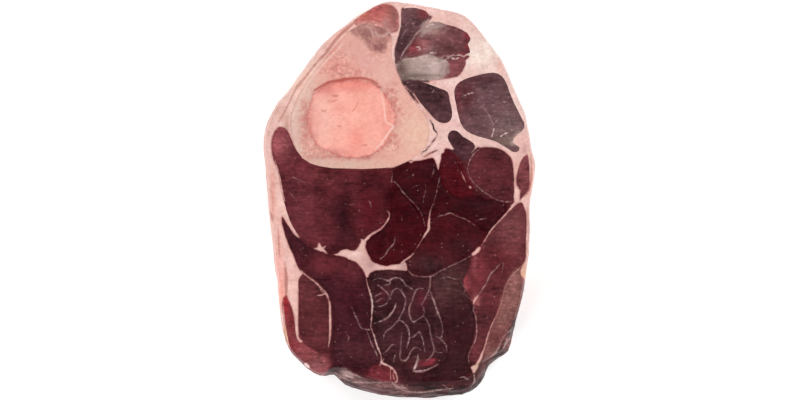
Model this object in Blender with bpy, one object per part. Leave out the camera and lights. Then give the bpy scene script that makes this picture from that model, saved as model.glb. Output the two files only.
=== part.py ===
"""Raw beef shank: one slice sawn across the shin, lying on its lower cut face.

Metres, +Z up. The origin is the middle of the slice's footprint, on the surface it rests on.
+Y runs along the slice to the crest of the shin bone, and +X to the outer side of the leg.
A web of fat and connective tissue makes the rim and the seams. The bone with its marrow, the
tendon and each muscle are plugs that run through the whole slice, each in a pocket of the web.
Outlines are drawn in the pixels of the photograph and scaled to the real length of the slice.
"""
import bmesh
import bpy
from mathutils import Vector

SLICE_LENGTH = 0.166          # from the crest of the shin to the back of the leg
SLICE_LENGTH_IN_PIXELS = 397
THICKNESS = 0.038             # between the two saw cuts, over the meat
SEAM_DROP = 0.0006            # fat and seams lie this far below the meat on both faces
MARROW_DROP = 0.0004          # the soft marrow lies this far below the bone
MEAT_EDGE = 0.0006            # rounding of a muscle along its seam
BONE_EDGE = 0.0002            # the saw leaves the bone nearly sharp
GAP = 0.0003                  # clearance between a plug and its pocket
CUTTER_MARGIN = 0.004         # a pocket's cutter stands out of both faces by this

WIDEST_LEVEL = 0.42           # share of the thickness at which the side wall stands out most
WALL_LEVELS = (0.0, 0.1, 0.24, WIDEST_LEVEL, 0.62, 0.8, 0.92, 1.0)
WALL_ROUNDING = 2.2           # exponent of the wall's curve from its widest level to a face
BASE_INSET_SHARE = 0.5        # the lower face draws in by this share of the upper face's inset
BASE_INSET = 0.0006           # and by this much more

OUTLINE_STEPS = 2             # straight pieces between two points of an outline
MERGE_DISTANCE = 0.00002

# The side seen from above: photograph x, photograph y, and how far inside it, in millimetres,
# the upper cut face ends. The lower end slopes out widely under its silverskin.
SILHOUETTE = (
    (390, 1.5, 0.9), (404, 2.5, 0.9), (420, 5, 0.9), (436, 8, 1.0), (452, 11, 1.0),
    (465, 15.5, 1.0), (474, 24, 1.0), (485, 37, 1.0), (495, 50, 1.0), (504, 65, 1.0),
    (512, 83, 1.0), (519, 99, 1.0), (525.5, 115, 1.0), (529, 134, 1.0), (531.5, 149, 1.0),
    (535, 162, 1.2), (534, 181, 1.2), (530, 200, 0.9), (529.5, 215, 0.8), (530, 232, 0.8),
    (528.5, 256, 0.9), (525.5, 279, 1.2), (522, 299, 1.2), (516.5, 320, 1.5), (513, 336, 2.6),
    (508.5, 351.5, 4.2), (499, 358, 4.4), (489, 366.5, 4.4), (483.5, 378, 5.0), (476, 388, 6.2),
    (462, 395.5, 6.8), (440, 397, 7.2), (420, 398.5, 7.4), (400, 397.5, 7.4), (380, 395.7, 7.2),
    (362, 390.7, 7.0), (345, 385, 6.6), (334, 375.5, 4.4), (325, 376.5, 2.4), (314, 373.5, 1.6),
    (300, 362, 1.4), (289, 349.5, 1.3), (283, 331, 1.3), (279.5, 306, 1.4), (276.5, 280, 1.6),
    (273, 252, 1.6), (270, 222, 1.8), (267, 190, 1.8), (264.5, 160, 1.8), (263.5, 138, 1.6),
    (268.5, 119, 1.5), (279, 101.5, 1.5), (294, 83.5, 1.5), (309, 61.5, 1.3), (325, 42, 1.1),
    (342, 27.5, 1.0), (358, 16.5, 0.9), (373, 6.5, 0.9),
)

BONE = (
    (357, 27.5), (365, 25.5), (374, 26.5), (382, 29.5), (389, 34), (392, 40), (390.5, 50),
    (392.5, 63), (398, 77), (407, 94), (419, 109), (427, 121), (428.5, 133), (425, 147),
    (414, 157), (398, 165), (380, 168), (345, 168.2), (320, 166), (303, 158), (294.5, 142),
    (291.5, 126), (295, 105), (306, 85), (321, 65), (337, 45.5), (347, 34.5),
)
MARROW = (
    (309, 104), (316, 91), (330, 84), (347, 80.5), (362, 80), (374, 83.5), (384, 93),
    (393, 107), (396, 120), (392, 135), (381, 149.5), (366, 157.5), (349, 158.5), (332, 154),
    (317, 146), (309, 134), (307, 118),
)
CREST_CAP = (
    (361, 21), (369, 15.5), (376, 10.5), (385, 8), (392, 10.5), (395, 17), (395.5, 25),
    (393, 30), (386, 25), (377, 21.5), (368, 20),
)
TENDON = (
    (401.5, 64), (408, 60.5), (418, 59.5), (429, 57), (437, 61), (444, 66), (440, 71.5),
    (439, 76.5), (429, 78.5), (415, 77.5), (404, 74.5), (400.5, 69.5),
)

# Muscles, each as its photograph outline: the short front ones round the tendon, the outer row
# down the right-hand side, the large ones of the middle, and the bundles of the lower half.
MUSCLES = {
    "muscle_strip": (
        (402, 11), (411, 8.5), (421, 10), (429, 15.5), (425.5, 22), (419, 31), (413, 40.5),
        (406, 49.5), (399.5, 60), (395.5, 58.5), (396.5, 47), (401, 34), (402, 21),
    ),
    "muscle_extensor": (
        (432, 22.5), (447, 25.5), (461, 30), (470.5, 39), (467.5, 45), (470, 53), (455, 57),
        (441, 57), (430, 52.5), (418, 55), (408, 56.5), (410, 49.5), (418, 38), (425, 27.5),
    ),
    "muscle_extensor_low": (
        (448, 66), (453, 62), (460, 60.5), (465.5, 62), (463, 69), (457.5, 75), (449, 76.5),
        (446, 72),
    ),
    "muscle_wedge": (
        (406, 84.5), (412, 82.5), (422, 82.5), (431, 85.5), (440, 89), (447.5, 92.5), (449.5, 101),
        (452, 113), (450, 121), (444, 123.5), (436, 120.5), (429, 113), (421, 104), (414, 94),
    ),
    "muscle_upper_right": (
        (454, 92), (457, 84.5), (464, 80), (476, 76), (488, 73.5), (497.5, 74), (504.5, 80.5),
        (509, 92), (514, 104), (520.5, 117), (524, 128), (518, 134), (512, 142.5), (519, 147.5),
        (516, 152.5), (507, 148.5), (496, 142), (483, 138), (471, 134), (463, 128), (458.5, 117),
        (456, 105),
    ),
    "muscle_small_dark": (
        (451, 131), (457, 131.5), (463, 137), (470, 141), (475, 146.5), (472, 151.5), (467.5, 156),
        (461, 154.5), (454.5, 150), (450.5, 144), (447.5, 137.5),
    ),
    "muscle_round": (
        (480, 150), (491, 148.5), (502, 151.5), (509, 160), (512.5, 173), (513.5, 186), (511.5, 198),
        (502, 199.5), (491, 195.5), (480, 188.5), (472, 179), (468.5, 169), (471.5, 160.5),
        (475.5, 154.5),
    ),
    "muscle_edge": (
        (521.5, 159.5), (525.5, 156), (528, 161), (529, 172), (527.5, 184), (524.5, 191.5),
        (522, 195.5), (519.5, 190), (518, 183), (517, 175), (519, 166.5),
    ),
    "muscle_bright": (
        (441, 159), (448, 154.5), (454.5, 158.5), (458.5, 168), (463, 177), (469.5, 187),
        (464, 191.5), (456, 192), (449, 187.5), (444, 179), (440.5, 169),
    ),
    "muscle_left_large": (
        (277, 133.5), (284, 135), (291, 147), (302, 162), (317, 170), (345, 172), (374, 172),
        (387, 175.5), (388.5, 192), (387, 210), (379, 224.5), (366, 235), (358, 243.5),
        (346, 247), (333, 250), (318, 247), (304, 240), (294, 228), (287, 211), (281.5, 188),
        (277, 163), (272.5, 144),
    ),
    "muscle_centre_left": (
        (392.5, 188), (401, 193.5), (411, 205), (419, 218), (422.5, 231), (417, 243), (406, 254),
        (396, 261), (386, 261.5), (376, 258), (369, 251), (369, 243), (379, 234.5),
        (388, 224.5), (392, 211), (391.8, 198),
    ),
    "muscle_centre_top": (
        (394, 176), (404, 170.5), (416, 164.5), (430, 163), (436, 170), (440, 182), (446, 192),
        (457, 199), (472, 201.5), (487, 201), (504.5, 207), (497, 216.5), (487, 229.5),
        (476, 221.5), (464, 215), (452, 210.5), (440, 212), (433.5, 207), (426, 216),
        (419.5, 206.5), (410, 197), (401, 188),
    ),
    "muscle_centre_low": (
        (434, 217), (449, 215.5), (462, 220), (474, 227.5), (482, 236), (476, 244), (467.5, 252),
        (458, 258.5), (446, 263.5), (435, 269.5), (424, 273.5), (414, 273), (409, 267),
        (409, 260.5), (414.5, 253.5), (421, 246), (426.5, 236.5), (430, 226.5),
    ),
    "muscle_lower_left": (
        (285.5, 227), (294, 235), (306, 246), (321, 254), (340, 258), (353.5, 265), (362.5, 277.5),
        (366, 293), (369.5, 311), (370, 328), (375, 345), (378, 358), (368, 365.5), (352, 366.5),
        (337.5, 360), (334, 346), (335, 325), (334, 305), (327, 287.5), (313, 274.5), (301, 260),
        (291, 243.5),
    ),
    "muscle_left_inner": (
        (300.5, 279.5), (307, 278.5), (315.5, 284), (323.5, 294), (327.5, 305), (328.5, 318),
        (328.5, 332), (327.5, 345), (323, 350), (314, 347), (305, 340.5), (301.5, 330), (300.5, 313),
        (300, 295),
    ),
    "muscle_left_flap": (
        (287, 302), (291, 310), (295.5, 324), (297, 338), (304, 347), (316, 353.5), (322, 362),
        (324.5, 368.5), (317, 368.5), (306, 361), (296.5, 351), (290.5, 338), (287, 318),
    ),
    "muscle_marbled": (
        (371.5, 281), (383, 274.5), (400, 276), (416, 280), (427, 283), (431, 297), (438, 313),
        (442.5, 332), (444.5, 350), (437, 363), (420, 369), (403, 369.5), (391, 362), (383, 349),
        (376.5, 330), (374.5, 310), (372.5, 294),
    ),
    "muscle_right_inner": (
        (437, 279), (450, 269.5), (465, 262.5), (466, 270), (460.5, 281.5), (466.5, 298),
        (472, 313), (473.5, 328), (470, 343), (465, 358), (467.5, 370), (456, 375.5), (438, 376),
        (425, 374.5), (437, 368.5), (446.5, 360), (449.5, 347), (447, 330), (441.5, 312),
        (435.5, 297), (432.5, 287),
    ),
    "muscle_right_main": (
        (519, 208.5), (508, 217.5), (497, 229.5), (487, 242.5), (479.5, 254), (474.5, 265),
        (466, 279.5), (470.5, 292), (476, 304), (478.5, 318), (478, 332), (474.5, 345),
        (471.5, 356), (476, 356.5), (483, 344), (489, 327), (496, 308), (500.5, 290), (506.5, 276),
        (516, 264), (523, 250), (525.5, 232), (524.5, 215),
    ),
    "muscle_right_outer": (
        (517.5, 271), (519.5, 281), (518.5, 293), (515.5, 305), (511, 317), (505.5, 328),
        (499.5, 336), (493, 343), (485.5, 350.5), (485, 346.5), (490, 337), (495, 324), (501, 307),
        (505.5, 291), (510.5, 279),
    ),
    "muscle_small_patch": (
        (375, 367.5), (384, 368.5), (389.5, 371), (387.5, 374.5), (380, 375.5), (374.5, 373),
    ),
}

# Colours as linear RGB: fresh meat darkens or greys from one muscle to the next.
MAROON = (0.085, 0.012, 0.016)
DARK = (0.045, 0.010, 0.013)
BROWN = (0.105, 0.030, 0.032)
BRIGHT = (0.150, 0.014, 0.020)
MEAT_COLOURS = {
    "muscle_strip": DARK, "muscle_extensor": BROWN, "muscle_extensor_low": BRIGHT,
    "muscle_wedge": DARK, "muscle_upper_right": BROWN, "muscle_small_dark": DARK,
    "muscle_bright": BRIGHT, "muscle_marbled": DARK, "muscle_right_inner": BROWN,
    "muscle_right_outer": BROWN, "muscle_left_flap": BRIGHT,
}
FAT_COLOUR = (0.78, 0.52, 0.44)
BONE_COLOUR = (0.72, 0.52, 0.42)
MARROW_COLOUR = (0.83, 0.36, 0.28)
CAP_COLOUR = (0.45, 0.13, 0.10)
TENDON_COLOUR = (0.36, 0.28, 0.27)

PIXEL = SLICE_LENGTH / SLICE_LENGTH_IN_PIXELS


def clear_scene():
    """Remove whatever the open file holds."""
    for thing in list(bpy.data.objects):
        bpy.data.objects.remove(thing)


def new_collection(name):
    """A collection of the scene."""
    collection = bpy.data.collections.new(name)
    bpy.context.scene.collection.children.link(collection)
    return collection


def new_material(name, colour, roughness):
    """A wet, non-metallic surface."""
    material = bpy.data.materials.new(name)
    material.use_nodes = True
    shader = material.node_tree.nodes["Principled BSDF"]
    shader.inputs["Base Color"].default_value = (*colour, 1.0)
    shader.inputs["Roughness"].default_value = roughness
    shader.inputs["Metallic"].default_value = 0.0
    return material


def smooth_loop(points, steps):
    """Points along the closed curve that passes through every given point."""
    loop = []
    count = len(points)
    for i in range(count):
        before, start, end, after = (Vector(points[(i + k) % count]) for k in (-1, 0, 1, 2))
        for step in range(steps):
            t = step / steps
            bend = 2 * before - 5 * start + 4 * end - after
            twist = 3 * start - before - 3 * end + after
            loop.append(0.5 * (2 * start + (end - before) * t + bend * t ** 2 + twist * t ** 3))
    return loop


def footprint_centre():
    """The photograph's pixel above the origin: the middle of the silhouette."""
    loop = smooth_loop(SILHOUETTE, OUTLINE_STEPS)
    xs = [point.x for point in loop]
    ys = [point.y for point in loop]
    return (min(xs) + max(xs)) / 2, (min(ys) + max(ys)) / 2


CENTRE_X, CENTRE_Y = footprint_centre()


def place(x, y):
    """A photograph pixel as metres in the part's frame."""
    return (x - CENTRE_X) * PIXEL, (CENTRE_Y - y) * PIXEL


def add_object(name, mesh, collection, material=None):
    """A named object around a mesh, with smooth round sides and sharp rims."""
    thing = bpy.data.objects.new(name, mesh)
    collection.objects.link(thing)
    if material:
        mesh.materials.append(material)
    mesh.shade_smooth()
    mesh.set_sharp_from_angle(angle=0.6)
    return thing


def outline_mesh(name, pixels, height, shrink=0.0, edge=0.0):
    """The outline as a closed prism about z = 0, drawn in by shrink, its rims rounded by edge."""
    curve = bpy.data.curves.new(name, "CURVE")
    curve.dimensions = "2D"
    curve.fill_mode = "BOTH"
    curve.resolution_u = OUTLINE_STEPS
    curve.extrude = height / 2 - edge
    curve.bevel_depth = edge
    curve.bevel_resolution = 0
    curve.offset = -shrink - edge
    places = [place(x, y) for x, y in pixels]
    places.reverse()
    spline = curve.splines.new("BEZIER")
    spline.bezier_points.add(len(places) - 1)
    for knot, (x, y) in zip(spline.bezier_points, places):
        knot.co = (x, y, 0)
        knot.handle_left_type = "AUTO"
        knot.handle_right_type = "AUTO"
    spline.use_cyclic_u = True
    guide = bpy.data.objects.new(name + "_curve", curve)
    bpy.context.scene.collection.objects.link(guide)
    bpy.context.view_layer.update()
    evaluated = guide.evaluated_get(bpy.context.evaluated_depsgraph_get())
    mesh = bpy.data.meshes.new_from_object(evaluated)
    mesh.transform(guide.matrix_world)
    mesh.name = name
    bpy.data.objects.remove(guide)
    bm = bmesh.new()
    bm.from_mesh(mesh)
    bmesh.ops.remove_doubles(bm, verts=bm.verts, dist=MERGE_DISTANCE)
    bmesh.ops.recalc_face_normals(bm, faces=bm.faces)
    bm.to_mesh(mesh)
    bm.free()
    return mesh


def add_plug(name, pixels, colour, roughness, edge, drop=0.0):
    """A piece of the slice that runs through its whole thickness."""
    material = new_material(name, colour, roughness)
    mesh = outline_mesh(name, pixels, THICKNESS - 2 * drop, GAP, edge)
    plug = add_object(name, mesh, parts, material)
    plug.location.z = THICKNESS / 2
    return plug


def add_cutter(name, pixels):
    """A pocket right through the slice, in the exact outline."""
    mesh = outline_mesh(name, pixels, THICKNESS + 2 * CUTTER_MARGIN)
    cutter = add_object(name, mesh, cutters)
    cutter.location.z = THICKNESS / 2
    cutter.display_type = "WIRE"
    cutter.hide_render = True
    return cutter


def wall_inset(level, face_inset):
    """How far inside the silhouette the side wall is, at a share of the thickness."""
    if level > WIDEST_LEVEL:
        reach = (level - WIDEST_LEVEL) / (1 - WIDEST_LEVEL)
        return face_inset * reach ** WALL_ROUNDING
    reach = (WIDEST_LEVEL - level) / WIDEST_LEVEL
    return (face_inset * BASE_INSET_SHARE + BASE_INSET) * reach ** WALL_ROUNDING


def web_mesh():
    """The rim's solid body before its pockets are cut: rings of the side wall, bridged."""
    loop = smooth_loop(SILHOUETTE, OUTLINE_STEPS)
    count = len(loop)
    bm = bmesh.new()
    rings = []
    for level in WALL_LEVELS:
        height = SEAM_DROP + level * (THICKNESS - 2 * SEAM_DROP)
        ring = []
        for i, (x, y, inset) in enumerate(loop):
            along = Vector(loop[(i + 1) % count][:2]) - Vector(loop[i - 1][:2])
            inward = Vector((-along.y, -along.x)).normalized()
            side = Vector(place(x, y)) + inward * wall_inset(level, inset / 1000)
            ring.append(bm.verts.new((side.x, side.y, height)))
        edges = [bm.edges.new((ring[i - 1], ring[i])) for i in range(count)]
        rings.append(edges)
    for lower, upper in zip(rings, rings[1:]):
        bmesh.ops.bridge_loops(bm, edges=lower + upper)
    bmesh.ops.contextual_create(bm, geom=rings[0])
    bmesh.ops.contextual_create(bm, geom=rings[-1])
    bmesh.ops.recalc_face_normals(bm, faces=bm.faces)
    mesh = bpy.data.meshes.new("fat_web")
    bm.to_mesh(mesh)
    bm.free()
    return mesh


def add_web():
    """The rim of fat and silverskin with every seam, as one solid."""
    web = add_object("fat_web", web_mesh(), parts, new_material("fat_web", FAT_COLOUR, 0.45))
    cut = web.modifiers.new("pockets", "BOOLEAN")
    cut.operation = "DIFFERENCE"
    cut.solver = "EXACT"
    cut.operand_type = "COLLECTION"
    cut.collection = pockets


def add_bone():
    """The ring of shin bone, and the marrow that fills it."""
    hole = add_cutter("marrow_pocket", MARROW)
    bone = add_plug("bone", BONE, BONE_COLOUR, 0.5, BONE_EDGE)
    cut = bone.modifiers.new("marrow_pocket", "BOOLEAN")
    cut.operation = "DIFFERENCE"
    cut.solver = "EXACT"
    cut.object = hole
    add_plug("marrow", MARROW, MARROW_COLOUR, 0.4, MEAT_EDGE, MARROW_DROP)


clear_scene()
parts = new_collection("beef_shank")
cutters = new_collection("cutters")
pockets = bpy.data.collections.new("pockets")
cutters.children.link(pockets)

for pocket_name, pocket_pixels in {"bone": BONE, "crest_cap": CREST_CAP, "tendon": TENDON, **MUSCLES}.items():
    pocket = add_cutter(pocket_name + "_pocket", pocket_pixels)
    cutters.objects.unlink(pocket)
    pockets.objects.link(pocket)

add_web()
add_bone()
add_plug("crest_cap", CREST_CAP, CAP_COLOUR, 0.4, MEAT_EDGE)
add_plug("tendon", TENDON, TENDON_COLOUR, 0.25, MEAT_EDGE)
for muscle, muscle_pixels in MUSCLES.items():
    add_plug(muscle, muscle_pixels, MEAT_COLOURS.get(muscle, MAROON), 0.3, MEAT_EDGE)
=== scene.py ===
# %% [markdown]
# # A slice of raw beef shank
#
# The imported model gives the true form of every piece: a web of fat with pockets, and the bone,
# the marrow, the tendon and the muscles that fill them. This lesson lays a living surface over
# each piece. A finely divided copy of each piece takes the relief of the cut, and then the
# colours, threads of fat and films of the meat are painted on its points as attributes.

# %% Load the frame
import math

import bmesh
import bpy
import numpy as np
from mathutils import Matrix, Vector, noise


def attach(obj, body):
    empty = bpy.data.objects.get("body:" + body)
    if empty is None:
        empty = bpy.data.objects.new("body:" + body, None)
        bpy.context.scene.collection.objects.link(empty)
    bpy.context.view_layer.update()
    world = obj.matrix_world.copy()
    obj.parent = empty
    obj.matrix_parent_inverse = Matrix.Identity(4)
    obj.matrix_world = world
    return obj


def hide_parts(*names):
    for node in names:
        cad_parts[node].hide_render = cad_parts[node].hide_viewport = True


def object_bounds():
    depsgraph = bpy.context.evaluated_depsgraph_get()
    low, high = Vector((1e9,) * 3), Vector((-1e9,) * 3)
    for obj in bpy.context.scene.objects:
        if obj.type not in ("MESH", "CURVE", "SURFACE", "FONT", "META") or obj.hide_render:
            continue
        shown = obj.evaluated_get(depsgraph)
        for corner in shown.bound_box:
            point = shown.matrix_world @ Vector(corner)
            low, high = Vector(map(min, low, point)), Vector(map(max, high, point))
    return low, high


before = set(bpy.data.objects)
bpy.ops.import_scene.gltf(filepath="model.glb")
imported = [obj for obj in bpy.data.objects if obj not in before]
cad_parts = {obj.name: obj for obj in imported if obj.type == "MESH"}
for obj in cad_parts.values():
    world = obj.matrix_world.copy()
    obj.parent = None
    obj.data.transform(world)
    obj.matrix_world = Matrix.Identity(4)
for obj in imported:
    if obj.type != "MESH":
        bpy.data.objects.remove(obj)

cad_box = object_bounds()
print("nodes:", len(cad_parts))

# %% [markdown]
# The photograph looks straight down on the slice, so a place on the cut face is one pixel of it.
# Every thread and patch below is drawn in those pixels, and one small function turns world
# places into them. The slice is 397 pixels long, from the crest of the shin to the back.

# %% Photograph pixels and metres
LOW, HIGH = (Vector(corner) for corner in cad_box)
SLICE_PIXELS = 397
CENTRE_PIXEL = np.array((399.25, 200.0))
PIXEL = (HIGH.y - LOW.y) / SLICE_PIXELS
TOP = HIGH.z
MM = 0.001


def to_pixels(places):
    """World x and y as photograph pixels."""
    return places[:, :2] * (1 / PIXEL, -1 / PIXEL) + CENTRE_PIXEL


print("one pixel is", round(PIXEL / MM, 4), "mm")

# %% [markdown]
# A thread of fat is a soft-edged line, so each painted shape is kept as a distance: how far a
# point lies outside the shape, in pixels, and negative inside it. The shader later turns that
# distance into a mask and frays its edge. Curves are drawn by a few given points, and a
# Catmull-Rom curve passes smoothly through them.

# %% Distances to drawn shapes
FAR = 6.0            # distances are cut off here, in pixels
CURVE_STEPS = 4


def smooth_curve(points, closed):
    """Points along the smooth curve through the given ones."""
    knots = np.array(points, float)
    if closed:
        knots = np.vstack((knots[-1:], knots, knots[:2]))
    else:
        knots = np.vstack((2 * knots[:1] - knots[1:2], knots, 2 * knots[-1:] - knots[-2:-1]))
    t = (np.arange(CURVE_STEPS) / CURVE_STEPS)[:, None]
    runs = []
    for before, start, end, after in zip(knots, knots[1:], knots[2:], knots[3:]):
        bend = 2 * before - 5 * start + 4 * end - after
        twist = 3 * start - before - 3 * end + after
        runs.append(0.5 * (2 * start + (end - before) * t + bend * t ** 2 + twist * t ** 3))
    if not closed:
        runs.append(knots[-2:-1])
    return np.vstack(runs)


def segment_distance(at, starts, ends, widths=None, far=FAR):
    """Distance from each point to the nearest segment, less the half-width there."""
    best = np.full(len(at), far)
    reach = far + (widths.max() if widths is not None else 0)
    low = np.minimum(starts, ends).min(0) - reach
    high = np.maximum(starts, ends).max(0) + reach
    near = np.flatnonzero(((at > low) & (at < high)).all(1))
    spots = at[near]
    found = best[near]
    for i, (a, b) in enumerate(zip(starts, ends)):
        run = b - a
        length = max(run @ run, 1e-9)
        t = np.clip((spots - a) @ run / length, 0, 1)
        gap = np.linalg.norm(spots - a - t[:, None] * run, axis=1)
        if widths is not None:
            gap = gap - (widths[i] * (1 - t) + widths[i + 1] * t)
        found = np.minimum(found, gap)
    best[near] = found
    return best


def line_distance(at, line):
    """Distance to a drawn thread: half-widths at its start, middle and end, then its points."""
    (first, middle, last), points = line
    curve = smooth_curve(points, False)
    along = np.linspace(0, 1, len(curve))
    widths = np.where(along < 0.5, first + (middle - first) * np.sin(along * math.pi),
                      last + (middle - last) * np.sin(along * math.pi))
    return segment_distance(at, curve[:-1], curve[1:], widths)


def crossings_inside(at, starts, ends):
    """True for points inside a closed outline given as loose segments."""
    inside = np.zeros(len(at), bool)
    for (ax, ay), (bx, by) in zip(starts, ends):
        if ay == by:
            continue
        spans = (at[:, 1] < ay) != (at[:, 1] < by)
        inside ^= spans & (at[:, 0] < ax + (at[:, 1] - ay) / (by - ay) * (bx - ax))
    return inside


def area_distance(at, points):
    """Signed distance to a drawn patch, negative inside."""
    curve = smooth_curve(points, True)
    ends = np.roll(curve, -1, 0)
    gap = segment_distance(at, curve, ends)
    return np.where(crossings_inside(at, curve, ends), -gap, gap)


def nearest(at, lines=(), areas=()):
    """Distance to the nearest of several drawn shapes."""
    best = np.full(len(at), FAR)
    for line in lines:
        best = np.minimum(best, line_distance(at, line))
    for area in areas:
        best = np.minimum(best, area_distance(at, area))
    return best


print("a thread's curve has", len(smooth_curve([(0, 0), (1, 0), (2, 1)], False)), "points")

# %% [markdown]
# Lean meat isn't one red. Where air reached it the cut is bright, deeper in it is maroon, and
# the outer muscles have gone brown. Each muscle has its own colour, and zones laid over it, each
# with a middle, two radii and its colour. Colours are written as seen on the screen.

# %% The colours of the meat
MEAT = {
    "muscle_left_large": ((92, 36, 42), (
        (280, 143, 14, 18, (142, 74, 79)), (343, 222, 11, 36, (58, 20, 26)),
        (371, 208, 14, 32, (76, 18, 26)), (318, 176, 22, 9, (100, 42, 46)),
        (300, 205, 16, 34, (100, 44, 51)), (380, 182, 16, 10, (70, 22, 28)),
        (388, 198, 6, 24, (66, 16, 22)))),
    "muscle_centre_left": ((62, 10, 17), ((385, 251, 18, 11, (60, 12, 18)),)),
    "muscle_centre_top": ((58, 12, 18), (
        (480, 205, 20, 10, (54, 17, 22)), (425, 168, 16, 7, (66, 18, 25)))),
    "muscle_centre_low": ((66, 16, 22), (
        (428, 264, 20, 10, (69, 36, 39)), (462, 245, 16, 10, (62, 24, 28)))),
    "muscle_bright": ((80, 16, 24), ((450, 160, 8, 7, (72, 20, 27)),)),
    "muscle_round": ((88, 38, 43), ((505, 190, 8, 12, (84, 35, 40)),)),
    "muscle_upper_right": ((103, 71, 74), (
        (466, 95, 9, 22, (88, 44, 48)), (508, 128, 16, 16, (120, 92, 92)), (505, 142, 16, 4, (118, 94, 86)),
        (519, 138, 5, 5, (178, 154, 146)), (480, 80, 24, 5, (96, 58, 62)), (458, 96, 3, 24, (108, 54, 60)),
        (475, 130, 12, 6, (98, 66, 69)), (490, 100, 8, 8, (96, 66, 70)))),
    "muscle_wedge": ((79, 49, 53), (
        (418, 90, 8, 7, (74, 46, 47)), (446, 96, 5, 8, (92, 56, 60)))),
    "muscle_small_dark": ((76, 44, 50), ()),
    "muscle_strip": ((100, 66, 69), (
        (402, 50, 7, 12, (76, 46, 50)), (424, 14, 6, 6, (116, 52, 56)))),
    "muscle_extensor": ((108, 64, 67), (
        (430, 50, 10, 6, (140, 98, 98)), (414, 47, 9, 6, (142, 60, 68)), (424, 43, 6, 4, (150, 92, 94)),
        (430, 29, 12, 7, (160, 124, 118)), (447, 47, 10, 6, (90, 52, 54)), (462, 27, 5, 3, (116, 50, 56)),
        (468, 36, 4, 4, (124, 40, 50)), (469, 47, 4, 4, (126, 38, 48)), (464, 56, 6, 2.5, (124, 44, 52)),
        (466, 41, 3, 1.6, (84, 38, 42)), (466, 52, 3, 1.6, (84, 38, 42)))),
    "muscle_extensor_low": ((126, 70, 74), ((443, 68, 3, 9, (166, 130, 126)),)),
    "muscle_edge": ((121, 62, 66), ()),
    "muscle_lower_left": ((64, 24, 31), (
        (330, 262, 26, 12, (102, 40, 46)), (350, 275, 12, 14, (84, 32, 39)),
        (355, 350, 22, 14, (77, 36, 41)), (350, 300, 10, 14, (56, 16, 24)))),
    "muscle_left_inner": ((89, 39, 43), ((308, 290, 7, 12, (98, 46, 50)),)),
    "muscle_left_flap": ((134, 66, 70), (
        (286, 306, 5, 14, (150, 42, 50)), (292, 320, 4, 16, (104, 36, 40)), (292, 345, 8, 9, (128, 50, 56)),
        (318, 366, 9, 9, (141, 82, 86)))),
    "muscle_marbled": ((62, 30, 34), (
        (412, 362, 16, 8, (68, 32, 34)), (428, 363, 7, 2.6, (126, 44, 54)),
        (432, 359.5, 4, 1.8, (136, 52, 62)), (382, 295, 6, 8, (74, 28, 36)), (378, 371, 9, 7, (88, 24, 32)),
        (421, 299, 5, 12, (80, 30, 40)), (391, 310, 5, 6, (50, 18, 24)))),
    "muscle_right_inner": ((58, 24, 28), (
        (448, 284, 18, 20, (84, 50, 51)), (458, 362, 18, 12, (56, 26, 29)),
        (456, 283, 3, 1.2, (100, 58, 56)))),
    "muscle_right_main": ((94, 42, 46), (
        (511, 228, 15, 22, (116, 62, 65)), (498, 262, 14, 16, (90, 34, 38)),
        (478, 285, 11, 24, (98, 40, 45)), (474, 280, 4, 6, (84, 32, 36)), (482, 322, 8, 20, (86, 41, 46)),
        (474.5, 263, 3, 9, (150, 76, 82)), (480, 262, 4, 12, (120, 50, 56)),
        (464, 285, 4, 9, (158, 70, 78)), (476, 300, 3.5, 5, (170, 96, 98)),
        (474, 330, 2.6, 26, (118, 56, 62)), (477, 350, 6, 8, (102, 48, 52)))),
    "muscle_right_outer": ((134, 86, 83), (
        (496, 338, 12, 12, (104, 56, 56)), (525, 300, 3, 7, (148, 62, 64)),
        (519, 320, 4, 6, (142, 64, 66)))),
    "muscle_small_patch": ((104, 40, 46), ()),
    "crest_cap": ((180, 100, 94), (
        (364, 13, 6, 5, (180, 102, 82)), (376, 12, 8, 6, (186, 98, 97)), (394, 18, 5, 14, (138, 88, 84)),
        (386, 24, 4, 8, (170, 116, 112)), (368, 26, 16, 4, (192, 140, 134)),
        (384, 32, 12, 4, (182, 134, 128)))),
    "tendon": ((168, 144, 137), (
        (401, 70, 8, 12, (112, 86, 82)), (434, 68, 7, 8, (203, 174, 170)),
        (420, 58, 14, 3, (178, 154, 146)), (447, 70, 4, 12, (150, 116, 112)),
        (415, 76, 20, 2, (120, 98, 92)))),
}


def linear(colour):
    """A screen colour, 0 to 255, as the linear values that a shader mixes."""
    share = np.array(colour, float) / 255
    return np.where(share <= 0.04045, share / 12.92, ((share + 0.055) / 1.055) ** 2.4)


def zone_share(at, x, y, across, along):
    """How strong a zone is at each point: 1 at its middle, fading over its two radii."""
    return np.exp(-((at[:, 0] - x) / across) ** 2 - ((at[:, 1] - y) / along) ** 2)


def zoned_colour(at, base, zones):
    """The base colour with every zone blended over it."""
    colour = np.tile(linear(base), (len(at), 1))
    for *zone, shade in zones:
        colour += (linear(shade) - colour) * zone_share(at, *zone)[:, None]
    return colour


print("coloured pieces:", len(MEAT))

# %% [markdown]
# Fat is cream between the front muscles, pink along the outer side and salmon down the left
# rim, where the skin side shows. The silverskin at the back of the leg is grey to lavender.

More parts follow.
